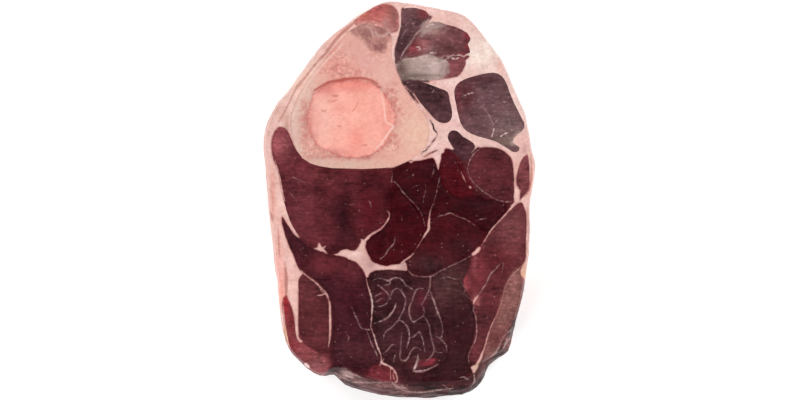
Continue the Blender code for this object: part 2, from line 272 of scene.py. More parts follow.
# %% The colours of the fat and the silverskin
FAT = ((234, 194, 185), (
    (485, 55, 26, 22, (251, 234, 224)), (520, 95, 14, 30, (248, 220, 212)),
    (425, 8, 40, 7, (248, 208, 200)), (276, 215, 12, 60, (241, 200, 190)),
    (273, 198, 3.2, 26, (226, 164, 150)), (278.5, 245, 3.4, 24, (238, 184, 174)),
    (281.5, 274, 4, 16, (252, 192, 182)), (282, 292, 4, 14, (250, 172, 156)),
    (292, 282, 6, 22, (240, 195, 186)), (279, 262, 3, 7, (255, 198, 188)),
    (287, 334, 5, 10, (244, 202, 162)), (287, 125, 3, 12, (198, 158, 145)),
    (307, 365, 4, 4, (250, 232, 226)), (476, 367, 4, 6, (218, 184, 164)), (524, 150, 4, 6, (206, 162, 157)),
    (300, 80, 22, 26, (250, 211, 196)), (340, 30, 30, 20, (240, 192, 180)),
    (277, 112, 12, 14, (236, 196, 184)), (364, 257, 30, 12, (216, 176, 168)),
    (437, 147, 10, 12, (240, 207, 200)), (356, 254, 9, 4, (238, 202, 194)),
    (404, 267, 5, 6, (196, 158, 154)), (378, 226, 10, 14, (206, 152, 150)),
    (371, 262, 4, 9, (196, 148, 142)), (500, 68, 5, 8, (240, 196, 186)), (374, 320, 9, 52, (204, 172, 170)),
    (502, 300, 14, 40, (204, 156, 150)), (533, 175, 6, 26, (250, 204, 192)),
    (530, 235, 5, 30, (236, 196, 188)), (523, 275, 5, 10, (236, 190, 160)),
    (450, 84, 16, 6, (244, 212, 206)), (455, 120, 8, 20, (242, 206, 202)),
    (498, 146, 16, 6, (234, 202, 196)),
))
SKIN = ((66, 26, 30), (
    (347, 375, 9, 6, (168, 136, 133)), (362, 382, 8, 4, (118, 86, 84)), (380, 386, 14, 5, (116, 80, 80)),
    (400, 390, 12, 6, (126, 86, 86)), (432, 390, 24, 6, (66, 26, 28)), (464, 385, 14, 8, (62, 22, 25)),
    (483, 374, 5, 9, (92, 58, 58)), (506, 341, 7, 7, (132, 78, 78)), (500, 351, 8, 5, (92, 48, 48)),
    (490, 360, 6, 4, (88, 44, 44)), (526, 315, 4, 22, (84, 36, 34)),
))
MARROW = ((249, 181, 166), (
    (310.5, 125, 2.5, 28, (206, 128, 122)), (309, 105, 6, 16, (214, 138, 134)),
    (352, 83, 18, 5, (232, 124, 114)), (324, 90, 12, 6, (212, 128, 124)),
    (322, 120, 12, 26, (242, 183, 169)), (347, 86, 26, 6, (238, 150, 138)),
    (350, 152, 30, 7, (240, 162, 150)), (360, 118, 14, 20, (252, 183, 166)),
    (388, 118, 6, 26, (240, 162, 148)), (330, 153, 14, 4, (212, 142, 134)),
    (312, 140, 5, 9, (210, 142, 136)), (356, 138, 10, 12, (244, 160, 146)),
    (375, 115, 7, 12, (247, 171, 157)),
))
BONE = ((228, 174, 160), (
    (294.5, 112, 1.8, 22, (238, 208, 196)), (299, 150, 5, 6, (222, 188, 174)),
    (297, 125, 6, 34, (216, 184, 170)), (335, 164, 42, 4, (210, 176, 160)),
    (318, 158, 12, 5, (208, 172, 158)), (306, 112, 2.5, 26, (196, 134, 126)),
    (335, 157, 30, 2.5, (204, 146, 136)), (427, 128, 4, 12, (222, 188, 168)),
    (308, 88, 9, 14, (220, 186, 170)), (332, 50, 7, 12, (218, 150, 138)), (365, 64, 12, 8, (222, 174, 170)),
    (345, 66, 22, 16, (228, 162, 150)), (297, 128, 8, 30, (220, 184, 172)),
    (335, 166, 40, 6, (216, 178, 163)), (417, 134, 16, 22, (233, 190, 169)),
    (385, 72, 14, 20, (227, 176, 165)), (355, 50, 14, 12, (222, 168, 158)),
    (312, 96, 8, 16, (226, 184, 170)), (300, 125, 2.5, 26, (216, 178, 163)),
    (291, 112, 1.2, 22, (206, 166, 152)),
))

print("zones of fat:", len(FAT[1]), "and of bone:", len(BONE[1]))

# %% [markdown]
# White threads and sinews part the muscles and run into them. They are the signature of this
# cut, so each one is drawn: three half-widths, at the start, the middle and the end, and points.

# %% Threads and patches of white fat
FAT_LINES = (
    ((0.4, 0.8, 0.6), ((366, 277), (366.8, 281), (368.6, 288), (371, 296), (372.3, 304), (372, 312),
        (371.4, 320), (370.8, 327))),
    ((0.5, 0.8, 0.8), ((370.8, 326), (372.5, 331), (374.3, 335.5), (377, 345), (380.7, 353.6),
        (381.6, 361))),
    ((1.5, 0.9, 0.8), ((381.5, 362.3), (386, 364.2), (391, 366.5), (394.8, 370.5), (397.4, 377))),
    ((0.3, 0.7, 0.3), ((384, 358), (382, 362), (379.5, 365))),
    ((0.4, 0.6, 0.3), ((390.7, 368), (390.3, 374), (391, 380))),
    ((0.3, 0.6, 0.3), ((393.6, 370), (393.4, 376), (396, 382))),
    ((0.8, 1.0, 0.4), ((397.4, 376), (396.8, 381), (394, 384), (398, 387), (402.5, 389.5))),
    ((0.5, 0.8, 0.9), ((302, 270), (305, 274), (309, 277), (313, 280), (318, 284), (322, 288), (326, 292),
        (328.5, 298))),
    ((0.2, 0.5, 0.2), ((319, 287), (322, 290.5), (325.5, 294.5))),
    ((0.7, 1.3, 0.5), ((328.5, 298), (330, 303), (330.3, 312), (330.5, 322), (330.3, 332), (329.5, 340),
        (328.5, 347))),
    ((0.5, 1.2, 0.8), ((275.5, 160), (278, 170), (280.5, 181), (282.5, 192), (285, 201))),
    ((0.4, 1.3, 0.4), ((283.5, 300), (284, 312), (285, 325), (287, 336), (288.5, 343), (291, 350))),
    ((0.5, 0.9, 0.9), ((317.5, 295), (321, 294.8), (326, 293.5))),
    ((1.7, 0.9, 0.3), ((365, 240.5), (372, 234), (379, 230), (384, 225.5), (387.5, 220.5), (389.5, 215.5),
        (388.8, 212.5), (386.5, 210))),
    ((0.3, 0.5, 0.9), ((434.5, 200), (432, 206), (430, 212), (429.3, 217))),
    ((0.9, 1.5, 0.9), ((429.3, 217), (428.8, 224), (428.5, 229), (426, 233), (423.5, 237))),
    ((0.6, 0.3, 0.4), ((423.5, 237), (421, 241), (418, 246), (415, 250))),
    ((0.4, 1.0, 1.4), ((413.8, 252.8), (410, 256.5), (405, 260), (402, 263))),
    ((1.3, 1.8, 1.6), ((514.3, 182), (515.6, 190), (516.6, 197), (515, 203), (511.5, 206.5))),
    ((0.5, 1.0, 1.2), ((519.6, 190), (518.8, 197), (517, 202), (514, 205))),
    ((1.5, 0.8, 0.9), ((512.5, 206), (508, 211), (501, 219), (495, 225), (490, 231))),
    ((0.9, 0.7, 0.3), ((490, 231), (487, 236), (484, 241), (481.5, 245.5))),
    ((0.4, 0.6, 0.5), ((523, 264.5), (517, 270), (511, 276.5), (507, 282), (504, 289), (502.8, 296),
        (501, 303), (498, 311))),
    ((0.5, 0.8, 0.9), ((498, 311), (494, 319), (490, 328), (487, 337), (485, 345), (482.5, 352))),
    ((0.9, 1.5, 0.9), ((482.4, 351), (480.5, 357), (477, 363), (474, 368))),
    ((0.3, 0.6, 0.4), ((404, 86), (409, 90), (413, 94), (415.5, 99), (417, 104))),
    ((0.8, 0.6, 0.3), ((413, 102), (418, 106), (423, 112), (428, 118))),
    ((0.4, 0.7, 0.3), ((461, 172), (463, 177), (465.5, 182))),
    ((0.9, 1.2, 0.9), ((469.2, 186.6), (469.8, 187.2), (470.4, 187.8))),
    ((0.4, 0.9, 0.5), ((407.5, 159.5), (411, 162.5), (413.5, 159))),
    ((0.3, 0.8, 0.5), ((463, 58.5), (465, 56), (468, 55))),
    ((0.4, 1.5, 0.5), ((473, 304), (474.5, 299.5), (478, 295))),
    ((0.3, 0.7, 0.3), ((493, 295.6), (494, 296.2), (494.8, 297))),
    ((0.3, 0.7, 0.3), ((494.5, 254), (495.2, 255), (496, 256))),
)
FAT_PATCHES = (
    ((333.5, 254.5), (338, 253), (341, 250.5), (346, 249), (350, 250), (355, 250.3), (358.5, 246.5),
        (361, 241.5), (361, 238.5), (364.5, 240), (366.5, 241), (365.5, 246), (367, 251), (369.5, 256.5),
        (373, 261.5), (379, 264), (386, 266), (392, 264.5), (400, 263.5), (405.5, 262), (407, 270),
        (400, 270), (390, 269.5), (377, 270), (373, 271.5), (370, 273), (368, 277), (366, 276.5),
        (364.5, 272), (361, 267), (356, 262), (350, 259.5), (345, 256.8), (339, 255.5)),
    ((471, 254), (475, 250), (478, 246.8), (480.3, 247.3), (479, 251), (476, 254), (473, 255.5)),
    ((470.5, 366.5), (474, 364.4), (478, 363.2), (477.6, 367), (475.4, 371), (473.3, 375.5), (472.4, 371)),
    ((304.3, 363.5), (306, 362), (310.4, 365.5), (308.5, 368), (305, 366.5)),
    ((314, 248), (317.5, 247), (319.3, 242.5), (321.3, 245.5), (323, 247), (326.5, 245.5), (324.6, 248.5),
        (326, 251), (328, 254), (323.5, 251.7), (319, 250.5)),
)
# grey patches: a grey film over the meat, partly a painted silvery sheen
GREY_AND_SHEEN_PATCHES = (
    ((509.5, 143), (513, 138.5), (518, 134.5), (524, 131.5), (529, 133), (530.5, 139), (529, 146),
        (521, 146.5), (513, 146)),
    ((428, 30), (432, 27.5), (438, 26.5), (433, 30), (427, 33), (422, 37), (421, 35)),
    ((424, 26), (429, 22.5), (437, 21.5), (436, 23.5), (429, 25.5)),
    ((439, 58), (446, 61), (449.5, 66), (448, 73), (443, 77), (440, 71), (441, 64)),
    ((420, 27), (427, 20.5), (436, 19), (445, 21), (446, 26), (437, 29.5), (428, 33), (421, 36)),
)
LEAN_AREAS = (
    ((396, 55), (405, 50), (420, 51), (438, 52), (450, 54), (463, 56), (465, 64), (461, 73), (455, 77.5),
        (441, 79.4), (425, 79.6), (410, 79.5), (402, 79), (397, 70)),
    ((355, 22.5), (362, 15), (370, 9), (378, 5.8), (388, 5.2), (395, 8.5), (398, 14), (398.6, 22),
        (397.5, 31), (393, 33), (386, 34), (376, 30), (366, 27), (358, 26)),
    ((274, 134), (272, 142), (272, 150), (274, 160), (278, 170), (280.5, 180), (281.5, 190), (285, 200),
        (289, 210), (290.5, 217), (293, 225), (296.5, 229), (297, 232), (300, 238), (296, 235.5),
        (291, 229), (286.5, 222), (284, 218), (282.3, 217), (282.5, 224), (284.5, 231), (286.5, 238),
        (289, 245), (291.5, 250), (294, 256), (296, 261), (298.5, 267), (301, 270.5), (303, 273),
        (301, 276), (299, 280), (299, 290), (298.8, 300), (298.7, 320), (298.8, 330), (299, 336),
        (301, 339), (303, 340.7), (301, 342), (298, 339), (296, 334), (295, 326), (294.8, 318),
        (293.5, 312), (292, 307), (290, 302), (288.3, 298), (287, 295), (284.5, 297), (283, 301),
        (283, 308), (284, 315), (284.3, 322), (284.5, 330), (285, 337), (286, 343), (287, 350), (288, 357),
        (296, 366), (310, 380), (330, 385), (360, 398), (420, 404), (470, 402), (500, 375), (520, 352),
        (527, 320), (529, 300), (527.5, 288), (524, 280), (520.5, 275), (520, 270), (522.5, 265),
        (525, 259), (525.5, 250), (525.5, 240), (526, 230), (526, 220), (525.5, 212), (523, 206),
        (521, 202.5), (516, 204), (513.5, 200), (513.5, 190), (513.8, 182), (513, 172), (512.5, 165),
        (511, 159), (507, 154), (502, 150.5), (497, 148.5), (490, 147.5), (484, 147.3), (479, 148.5),
        (475, 152), (472, 155), (462, 146), (456, 148.5), (451, 151), (446, 151.5), (441.5, 154),
        (441, 159), (439.5, 164), (438, 170), (436.5, 165), (434.5, 160), (432, 158), (427, 159),
        (421, 160.5), (414, 161), (409, 160.5), (404, 163), (398, 166), (390, 168), (375, 167.5),
        (350, 166.5), (330, 166), (318, 164), (308, 160.5), (300, 154.5), (295, 147), (292, 140),
        (289, 133), (285, 128.5), (279, 127.5)),
    ((519.5, 200), (522, 197), (526, 193), (529, 187), (529, 180), (528.5, 170), (528, 160), (527, 155),
        (524, 157), (521, 161), (519, 166), (517.5, 172), (516, 178), (516, 184), (518, 188), (519.5, 192)),
)

print("threads of fat:", len(FAT_LINES), "patches:", len(FAT_PATCHES))

# %% [markdown]
# Finer, greyer threads of sinew wind through the darkest muscle and divide the middle ones.
# They are thinner than the fat and half see-through, so they are a layer of their own.

# %% Threads of sinew
SINEW_LINES = (
    ((0.3, 0.5, 0.3), ((460.5, 281), (463, 285), (465.5, 289), (463.5, 293), (468, 297), (472, 300))),
    ((0.3, 0.5, 0.2), ((448, 277), (454, 278.5), (460, 279.5))),
    ((0.4, 0.6, 0.3), ((474, 305), (473, 310), (475.5, 316), (476, 323), (476.5, 330), (475, 340),
        (471, 348), (468, 356), (469, 363))),
    ((0.6, 1.1, 0.8), ((429, 18.5), (423, 27), (417, 34), (411.5, 42), (405.5, 50), (400.5, 59))),
    ((0.3, 0.8, 0.3), ((424, 30), (430, 26), (437, 25), (441, 26))),
    ((0.3, 0.7, 0.3), ((421, 36), (427, 32.5), (433, 29.5), (437, 28.5))),
    ((0.3, 0.6, 0.3), ((426, 38), (430, 34), (434, 32))),
    ((0.3, 0.8, 0.3), ((443, 36), (444.5, 32), (447, 29))),
    ((0.4, 1.2, 0.6), ((430, 53.5), (433, 54), (436, 53.5))),
    ((0.4, 0.9, 0.4), ((416, 49), (418.5, 47.5), (420, 50), (422, 52))),
    ((0.2, 0.6, 0.2), ((408, 28), (404, 34), (401, 40))),
    ((0.1, 0.4, 0.1), ((391.5, 171), (392.3, 175), (391.6, 182), (391, 188))),
    ((0.1, 0.4, 0.1), ((407, 178), (412, 176), (414, 174))),
    ((0.1, 0.4, 0.1), ((412, 187.5), (416, 186), (419, 185))),
    ((0.1, 0.4, 0.1), ((424.5, 182), (426, 189), (424, 196), (423, 203))),
    ((0.1, 0.4, 0.1), ((434, 164), (433.5, 171), (431, 178))),
    ((0.2, 0.6, 0.2), ((367, 199), (370.5, 203), (371, 209))),
    ((0.2, 0.6, 0.2), ((476, 220), (482, 219), (487, 217.5))),
    ((0.2, 0.7, 0.2), ((438, 278), (444, 277.5), (450, 276))),
    ((0.2, 0.6, 0.3), ((433, 335), (438, 337), (442, 340), (446, 345), (446.5, 352))),
    ((0.2, 0.5, 0.2), ((434, 350), (438, 352), (442, 352))),
    ((0.4, 0.8, 0.4), ((478, 295), (482, 289), (486, 283), (490, 274), (495, 269), (500, 263))),
    ((0.4, 0.9, 0.4), ((512, 329), (505, 334), (501, 341), (497, 349), (493, 354), (487, 358.5),
        (481, 361))),
    ((0.3, 0.6, 0.3), ((366, 328.3), (369, 336), (372, 344), (376, 352), (379, 360))),
    ((0.2, 0.5, 0.2), ((461, 91), (463, 95), (461, 98))),
    ((0.2, 0.7, 0.2), ((469, 94), (472, 93), (474, 92.6))),
    ((0.2, 0.7, 0.2), ((502, 102), (504, 102.4), (506, 102))),
    ((0.3, 0.8, 0.4), ((373, 280), (378, 278.2), (383, 278.6), (387, 280.2), (389.5, 280), (392, 278.5),
        (398, 277.5), (403, 280.7), (406, 285), (411, 288), (415, 291.4))),
    ((0.3, 0.6, 0.3), ((389.5, 280), (390.3, 283), (387, 284.5), (384, 285))),
    ((0.3, 0.8, 0.3), ((378, 284.5), (383, 288.6), (388, 293.6), (390, 298.6))),
    ((0.2, 0.6, 0.2), ((375.5, 301.5), (379, 300), (381.5, 298.3), (387, 297.8))),
    ((0.2, 0.6, 0.2), ((377, 306.5), (383, 305), (387, 302.8), (388, 299))),
    ((0.2, 0.5, 0.2), ((374.5, 296), (379, 294), (383, 292.5))),
    ((0.4, 0.9, 0.4), ((390.7, 298), (391.5, 293), (394, 289.5), (397, 288.3), (400, 289.5), (403.5, 294),
        (405.8, 299), (404.5, 306.5), (401.5, 314), (398.6, 319.3))),
    ((0.5, 1.0, 0.3), ((396.5, 302), (394, 309), (388, 317), (381, 320.5), (374.3, 323))),
    ((0.4, 0.8, 0.3), ((398.6, 319.3), (392.5, 326), (386, 331), (384, 335), (383.5, 339.5))),
    ((0.4, 0.9, 0.3), ((398.6, 319.3), (403, 321.5), (408, 328), (409.4, 337), (406.5, 348))),
    ((0.4, 0.9, 0.5), ((423, 288.5), (418.6, 288), (415, 291.4), (412, 300.5), (409.4, 307), (409.3, 313.6),
        (412.8, 321.2), (419.3, 318), (423.6, 315))),
    ((0.6, 0.8, 0.4), ((430, 276), (430, 283), (428.6, 290.5), (425, 298), (421.3, 305))),
    ((0.3, 0.7, 0.3), ((421.3, 304), (424, 309), (423.6, 315))),
    ((0.4, 1.0, 0.3), ((428.8, 288), (431.5, 295.5), (434.4, 302), (437, 310.7), (440, 318), (442, 325))),
    ((0.2, 0.5, 0.2), ((442, 325), (442.5, 331), (441, 338), (438.5, 343))),
    ((0.3, 0.9, 0.4), ((423.6, 315), (428.5, 323.5), (430.2, 332), (432.2, 341), (434, 349.3), (431, 355.7),
        (424.5, 362))),
    ((0.3, 0.8, 0.3), ((409.3, 337), (413, 336.5), (416, 334), (419.3, 331.5), (421.5, 336), (423, 341),
        (425, 352))),
    ((0.4, 0.9, 0.4), ((401.5, 333), (400.8, 345), (400, 356.4), (402.8, 360), (407, 358.6), (411, 350.7),
        (416, 346.6), (420.7, 349.5))),
    ((0.3, 0.8, 0.3), ((397, 343.6), (392, 344.4), (388, 349.3), (383.6, 353))),
    ((0.2, 0.6, 0.2), ((395.7, 353), (394, 358), (393.6, 362))),
    ((0.5, 1.5, 1.0), ((418, 353.6), (417.2, 362), (413.8, 369.5))),
    ((1.0, 0.9, 0.3), ((413.5, 370), (418, 371), (423, 370.5), (431.5, 367), (438, 363.5))),
    ((0.2, 0.6, 0.5), ((352, 307), (356, 316), (361.6, 327.5), (371, 329.4))),
    ((0.3, 0.7, 0.3), ((481, 106), (487, 113), (492, 123), (493, 133))),
    ((0.6, 0.6, 0.2), ((493, 125), (496, 121.5), (499, 119))),
    ((0.5, 0.6, 0.2), ((500, 136), (504, 133.8), (508, 133))),
    ((0.2, 0.4, 0.2), ((477, 110), (481, 107), (485, 104))),
    ((0.3, 0.6, 0.4), ((395, 237), (394, 243), (388, 250), (385, 255), (380, 259))),
    ((0.3, 0.4, 0.4), ((390.6, 182), (393.9, 181.7), (398.3, 185.6), (402.8, 192), (409.4, 199),
        (415, 204.4), (420.6, 212), (422.8, 218), (425, 225.6))),
    ((0.5, 0.6, 0.2), ((437.5, 216.5), (441, 215.5), (445, 215), (450, 212.8), (456, 216), (465, 219),
        (471.7, 223.3), (478, 228))),
    ((0.5, 0.7, 0.4), ((407, 269), (413, 275), (422, 276.4), (431, 276), (440, 271), (452, 265), (461, 261),
        (470, 256))),
    ((0.4, 0.6, 0.3), ((467, 168), (470, 178), (478, 187.5), (488, 194.8), (500, 200.8), (512, 202))),
    ((0.3, 0.5, 0.3), ((468, 166), (470, 159.5), (474, 153.5), (479, 149.3))),
    ((0.2, 0.4, 0.2), ((502.8, 262), (502.5, 268), (501, 273))),
    ((0.3, 0.5, 0.2), ((293, 177), (299, 180), (305, 182.5))),
    ((0.2, 0.4, 0.2), ((288, 189), (293, 196), (297, 201))),
    ((0.2, 0.4, 0.2), ((405, 27), (408, 23), (411, 20), (413, 25), (416, 18))),
    ((0.2, 0.5, 0.2), ((430, 88), (434, 90.5), (431, 93.5))),
    ((0.3, 0.4, 0.2), ((434.5, 199), (436.5, 192), (438, 184), (440, 176))),
    ((0.2, 0.4, 0.2), ((345, 204), (350, 205), (355, 203))),
    ((0.5, 0.5, 0.5), ((347, 334), (349, 337), (348, 341))),
)

print("threads of sinew:", len(SINEW_LINES))

# %% [markdown]
# Round the bone, blood and the skin side leave reddish bands: a brown-red line runs under the
# skin from the crest down the upper left, and darker lines edge the marrow. The bone is spongy
# in zones, a thin slit parts it from the meat and its shade is painted as a dark line, and pale
# threads cross what they lie on; some of these pale lines are painted highlights where the wet
# surface glints.

# %% Bands, flecks, painted slit shade, pale threads and painted highlights
RED_LINES = (
    ((0.7, 1.6, 1.5), ((357, 20.5), (350, 27), (341, 35), (334, 43), (327, 52.5))),
    ((1.2, 0.8, 0.5), ((327, 53), (319, 61), (311, 70.5), (303, 81), (296, 90), (290, 102), (284, 114),
        (279, 122))),
    ((0.9, 1.5, 0.8), ((315, 90.5), (322, 86.5), (330, 82.5), (338, 81), (350, 79), (362, 78.6),
        (370, 80.3), (378, 84.5))),
    ((0.4, 1.6, 0.4), ((270, 211), (271.8, 216), (273, 221.5))),
    ((0.4, 1.0, 0.4), ((269.5, 188), (270.3, 190.5), (271.2, 193))),
    ((0.4, 1.7, 0.9), ((285, 262), (286.6, 275), (286.8, 287), (286.3, 296))),
    ((0.3, 0.8, 0.4), ((278.5, 228), (279.3, 243), (280.2, 258))),
    ((0.3, 1.2, 0.5), ((530, 154), (531, 168), (530.5, 180), (529, 190), (524, 197.5))),
    ((0.3, 0.8, 0.3), ((527.6, 208), (528.4, 224), (528.2, 242))),
)
DARK_LINES = (
    ((0.8, 1.2, 0.8), ((333, 96), (335, 96.5), (338, 96))),
    ((0.6, 1.0, 0.6), ((322, 111), (324, 111.5), (326, 111))),
    ((0.5, 0.8, 0.5), ((337, 126), (339, 126.5), (341, 126))),
    ((0.5, 0.9, 0.5), ((362, 145), (364, 145.5), (367, 145))),
    ((0.3, 0.7, 0.3), ((328, 101), (333, 102), (337, 100))),
    ((0.3, 0.6, 0.3), ((352, 112), (356, 108), (358, 103))),
    ((0.4, 0.9, 0.4), ((374, 84), (377, 87), (379, 88))),
    ((0.4, 0.9, 0.4), ((364, 158), (370, 157), (373, 154))),
)
DARK_PATCHES = (
    ((351, 30), (357, 25), (364, 22), (372, 21), (380, 22), (388, 25), (393, 31), (391, 38), (386, 46),
        (381, 54), (375, 51), (368, 49), (365, 42), (358, 38), (352, 35)),
)
# painted shade: dark lines where a thin gap parts the bone from the meat
SLIT_SHADE_LINES = (
    ((0.3, 0.9, 0.4), ((429.4, 119), (431.4, 123), (433, 125.5), (434, 130), (436, 132), (437.3, 135.5))),
    ((0.2, 0.5, 0.2), ((421, 155.5), (423, 152), (426, 150.5), (430, 146))),
)
SPONGE_ZONES = (
    (338, 62, 14, 16, 0.7), (378, 48, 14, 14, 0.5), (306, 125, 6, 28, 0.8), (318, 150, 12, 7, 0.7),
    (350, 155, 26, 5, 0.9), (391, 100, 8, 18, 0.9), (393, 140, 8, 14, 0.8), (345, 74, 24, 5, 0.7),
    (400, 112, 10, 10, 0.5),
)
SKIN_THREADS = (
    ((0.3, 0.9, 0.3), ((340, 378), (352, 383.5), (366, 383), (380, 382), (392, 381))),
    ((0.3, 0.6, 0.3), ((437, 381.5), (442, 384.5), (449, 390))),
    ((0.3, 0.7, 0.3), ((400, 386), (404, 387.5), (408, 391))),
    ((0.3, 0.6, 0.2), ((343, 370), (352, 373), (362, 377), (370, 379))),
    ((0.2, 0.7, 0.3), ((410, 385), (418, 383.5), (426, 381.7), (434, 381.3))),
    ((0.3, 0.7, 0.3), ((400, 390.5), (410, 392.5), (430, 391.5), (446, 389.5), (452, 388))),
    ((0.4, 1.0, 0.4), ((512, 329), (505, 334), (501, 341), (497, 349), (493, 354), (487, 358.5),
        (481, 361))),
    ((0.3, 0.7, 0.3), ((508, 338), (505, 343), (503, 348))),
    ((0.3, 0.7, 0.3), ((474, 374), (474, 381), (471, 387))),
    ((0.3, 0.6, 0.3), ((458, 377), (463, 376), (468, 378.5))),
    ((0.3, 1.2, 0.4), ((391, 379), (394, 384), (399, 388), (405, 389.5))),
)
# pale threads, and among them painted highlights: the white line along the crest cap's edge, the glossy spot
# on the extensor and the glints in the upper right
PALE_AND_GLINT_LINES = (
    ((0.3, 0.9, 0.3), ((367, 27), (371, 30), (373, 35), (375, 38.5))),
    ((0.2, 0.7, 0.3), ((375, 32), (378, 36), (383, 37), (388, 33.5), (391, 32.5))),
    ((0.3, 0.5, 0.4), ((399.4, 9), (400.4, 18), (400.3, 27), (397.4, 36), (394.4, 44), (393.2, 52),
        (395, 60))),
    ((0.3, 0.7, 0.3), ((441, 58), (445, 56.2), (449, 57.4), (453, 55.4))),
    ((0.3, 0.6, 0.3), ((446, 60), (450, 58.4), (455, 59.6), (459, 57.6))),
    ((0.2, 0.6, 0.3), ((455, 56.4), (459, 55.6), (464, 57), (468, 54))),
    ((0.2, 0.6, 0.2), ((441, 63), (444, 61.6), (447, 62.4))),
    ((0.3, 0.6, 0.3), ((416, 48), (418.5, 47.4), (419.6, 49.6), (418, 51))),
    ((0.2, 0.6, 0.2), ((429, 53), (432, 53.6), (435, 53.2))),
    ((0.2, 0.5, 0.2), ((424, 23.5), (430, 21), (436, 20.6), (441, 22))),
    ((0.2, 0.5, 0.2), ((426, 28), (430, 25), (435, 25.4))),
    ((0.2, 0.6, 0.2), ((500, 136.5), (503, 135.2), (505.5, 133.5), (508.5, 133))),
    ((0.2, 0.5, 0.2), ((491, 137.5), (492.5, 133.5), (493.5, 128))),
    ((0.2, 0.5, 0.2), ((462, 97.5), (466, 94.8), (469, 94), (473, 93.6))),
    ((0.2, 0.6, 0.2), ((369, 288), (371.6, 297), (372.4, 306), (372, 314))),
    ((0.2, 0.5, 0.2), ((374, 334), (377, 344), (380, 352))),
    ((0.2, 0.6, 0.2), ((380.5, 361), (384, 363), (389, 365.5), (393, 369))),
    ((0.2, 0.6, 0.2), ((413.5, 369), (415, 366), (416.6, 360))),
    ((0.2, 0.4, 0.2), ((415, 370.4), (420, 370), (425, 369))),
    ((0.3, 0.7, 0.3), ((424, 148), (430, 144.5), (437, 141))),
    ((0.3, 0.7, 0.3), ((431, 150), (435, 146), (438, 140), (439, 134))),
    ((0.3, 0.8, 0.3), ((427, 120), (430, 127), (433, 133), (436, 138))),
    ((0.4, 0.9, 0.5), ((343, 44), (337, 51), (325, 63), (313, 77), (306, 87), (297, 108), (292.5, 120))),
    ((0.4, 0.8, 0.4), ((381, 92), (384, 105), (385.5, 120), (389, 124), (394, 126.5), (390, 131),
        (386, 137), (381, 144), (376, 149))),
)

print("red bands:", len(RED_LINES), "pale threads:", len(PALE_AND_GLINT_LINES))

# %% [markdown]
# Where two muscles touch, the web between them is a dark film and not fat. These bands darken
# the web there, and it then takes the colour of the meat beside it.

# %% Dark seams of the web
SEAM_LINES = (
    ((1.5, 2.3, 2.0), ((403, 10), (403, 20), (402, 31), (399.5, 41), (397.2, 50), (397, 58), (398.5, 68),
        (401.5, 76), (405, 84))),
    ((2.0, 2.2, 1.0), ((403, 80.5), (412, 80.5), (422, 80.5), (428, 82))),
    ((1.2, 1.6, 0.5), ((403, 83), (409, 91), (414, 98), (418, 103))),
    ((0.2, 0.5, 0.2), ((424, 157), (430, 153.5), (437, 150.5))),
    ((0.2, 0.5, 0.2), ((426, 149), (432, 143), (436, 137))),
    ((1.6, 2.4, 2.2), ((430, 18), (424, 25.5), (417, 35.5), (411, 44.5), (404, 54), (399, 62))),
    ((0.6, 1.2, 0.5), ((404, 79.8), (418, 80), (430, 79.3), (441, 78.6), (449, 77.8))),
    ((2.5, 3.0, 1.0), ((443, 62), (452, 59), (462, 59), (468, 57))),
    ((2.0, 2.6, 2.6), ((478, 149.5), (473.5, 154), (469.5, 160), (466, 168))),
    ((2.0, 3.0, 3.0), ((446, 150.5), (453, 153.5), (459, 157), (464, 162))),
)
SKIN_AREA = (
    (330, 366), (339, 365), (346, 366.5), (352, 371.5), (360, 376), (370, 379.5), (385, 381), (400, 384),
    (410, 386), (440, 386), (452, 380), (462, 376), (470, 373), (478, 371), (482, 367), (488, 359),
    (497, 348.5), (504, 338), (509, 328), (515, 318), (535, 318), (530, 360), (505, 385), (480, 410),
    (400, 412), (340, 405), (324, 385),
)
print("seams:", len(SEAM_LINES))

# %% [markdown]
# Each piece's surface starts as a merged copy of its CAD node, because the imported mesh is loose
# triangles. A plug is let out a little, to meet the wall of its pocket. The relief needs many
# points on both cut faces, so two closed slabs, each with one finely gridded side, are
# intersected with the copy: one gives the upper face its grid, the other the lower face.

# %% Finely gridded copies of the pieces
WELD = 0.00001
PLUG_GROWTH = 0.45 * MM       # closes the gap round a plug
FACE_TRIM = 0.8 * MM          # the slabs cut below the rounded rims; the relief lifts the face back
TOP_GRID = 0.42 * MM
BASE_GRID = 0.75 * MM
SLAB_MARGIN = 2 * MM
WALL_CUTS = 5
UPRIGHT = 0.995               # a face is upright when its normal's z is below this
SIDEWAYS = 0.1                # a point is moved when its normal points this far sideways


def merged_copy(node):
    """A bmesh of a CAD node's own mesh with its loose triangles joined."""
    bm = bmesh.new()
    bm.from_mesh(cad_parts[node].data)
    bmesh.ops.remove_doubles(bm, verts=bm.verts, dist=WELD)
    bm.normal_update()
    return bm


def let_out(bm, distance):
    """Move an upright side outwards by a distance."""
    for vert in bm.verts:
        side = Vector((vert.normal.x, vert.normal.y, 0))
        if side.length > SIDEWAYS:
            vert.co += side.normalized() * distance


def side_wall(bm):
    """The faces of the outer side, found by walking from the piece's outermost face."""
    upright = {face for face in bm.faces if abs(face.normal.z) < UPRIGHT}
    first = max(upright, key=lambda face: face.calc_center_median().x)
    found = {first}
    waiting = [first]
    while waiting:
        for edge in waiting.pop().edges:
            for other in edge.link_faces:
                if other in upright and other not in found:
                    found.add(other)
                    waiting.append(other)
    return found


def ring_segments(bm, wall=None):
    """The outline of the upper cut face, in pixels, as loose segments.

    The web's outline is the top of its outer wall; a plug's is the foot of its rounded rim.
    """
    level = sorted({round(vert.co.z, 5) for vert in bm.verts})[-2 if wall is None else -1]
    edges = [edge for edge in bm.edges
             if all(abs(vert.co.z - level) < 2 * WELD for vert in edge.verts)
             and (wall is None or any(face in wall for face in edge.link_faces))]
    return [to_pixels(np.array([edge.verts[k].co for edge in edges])) for k in (0, 1)]


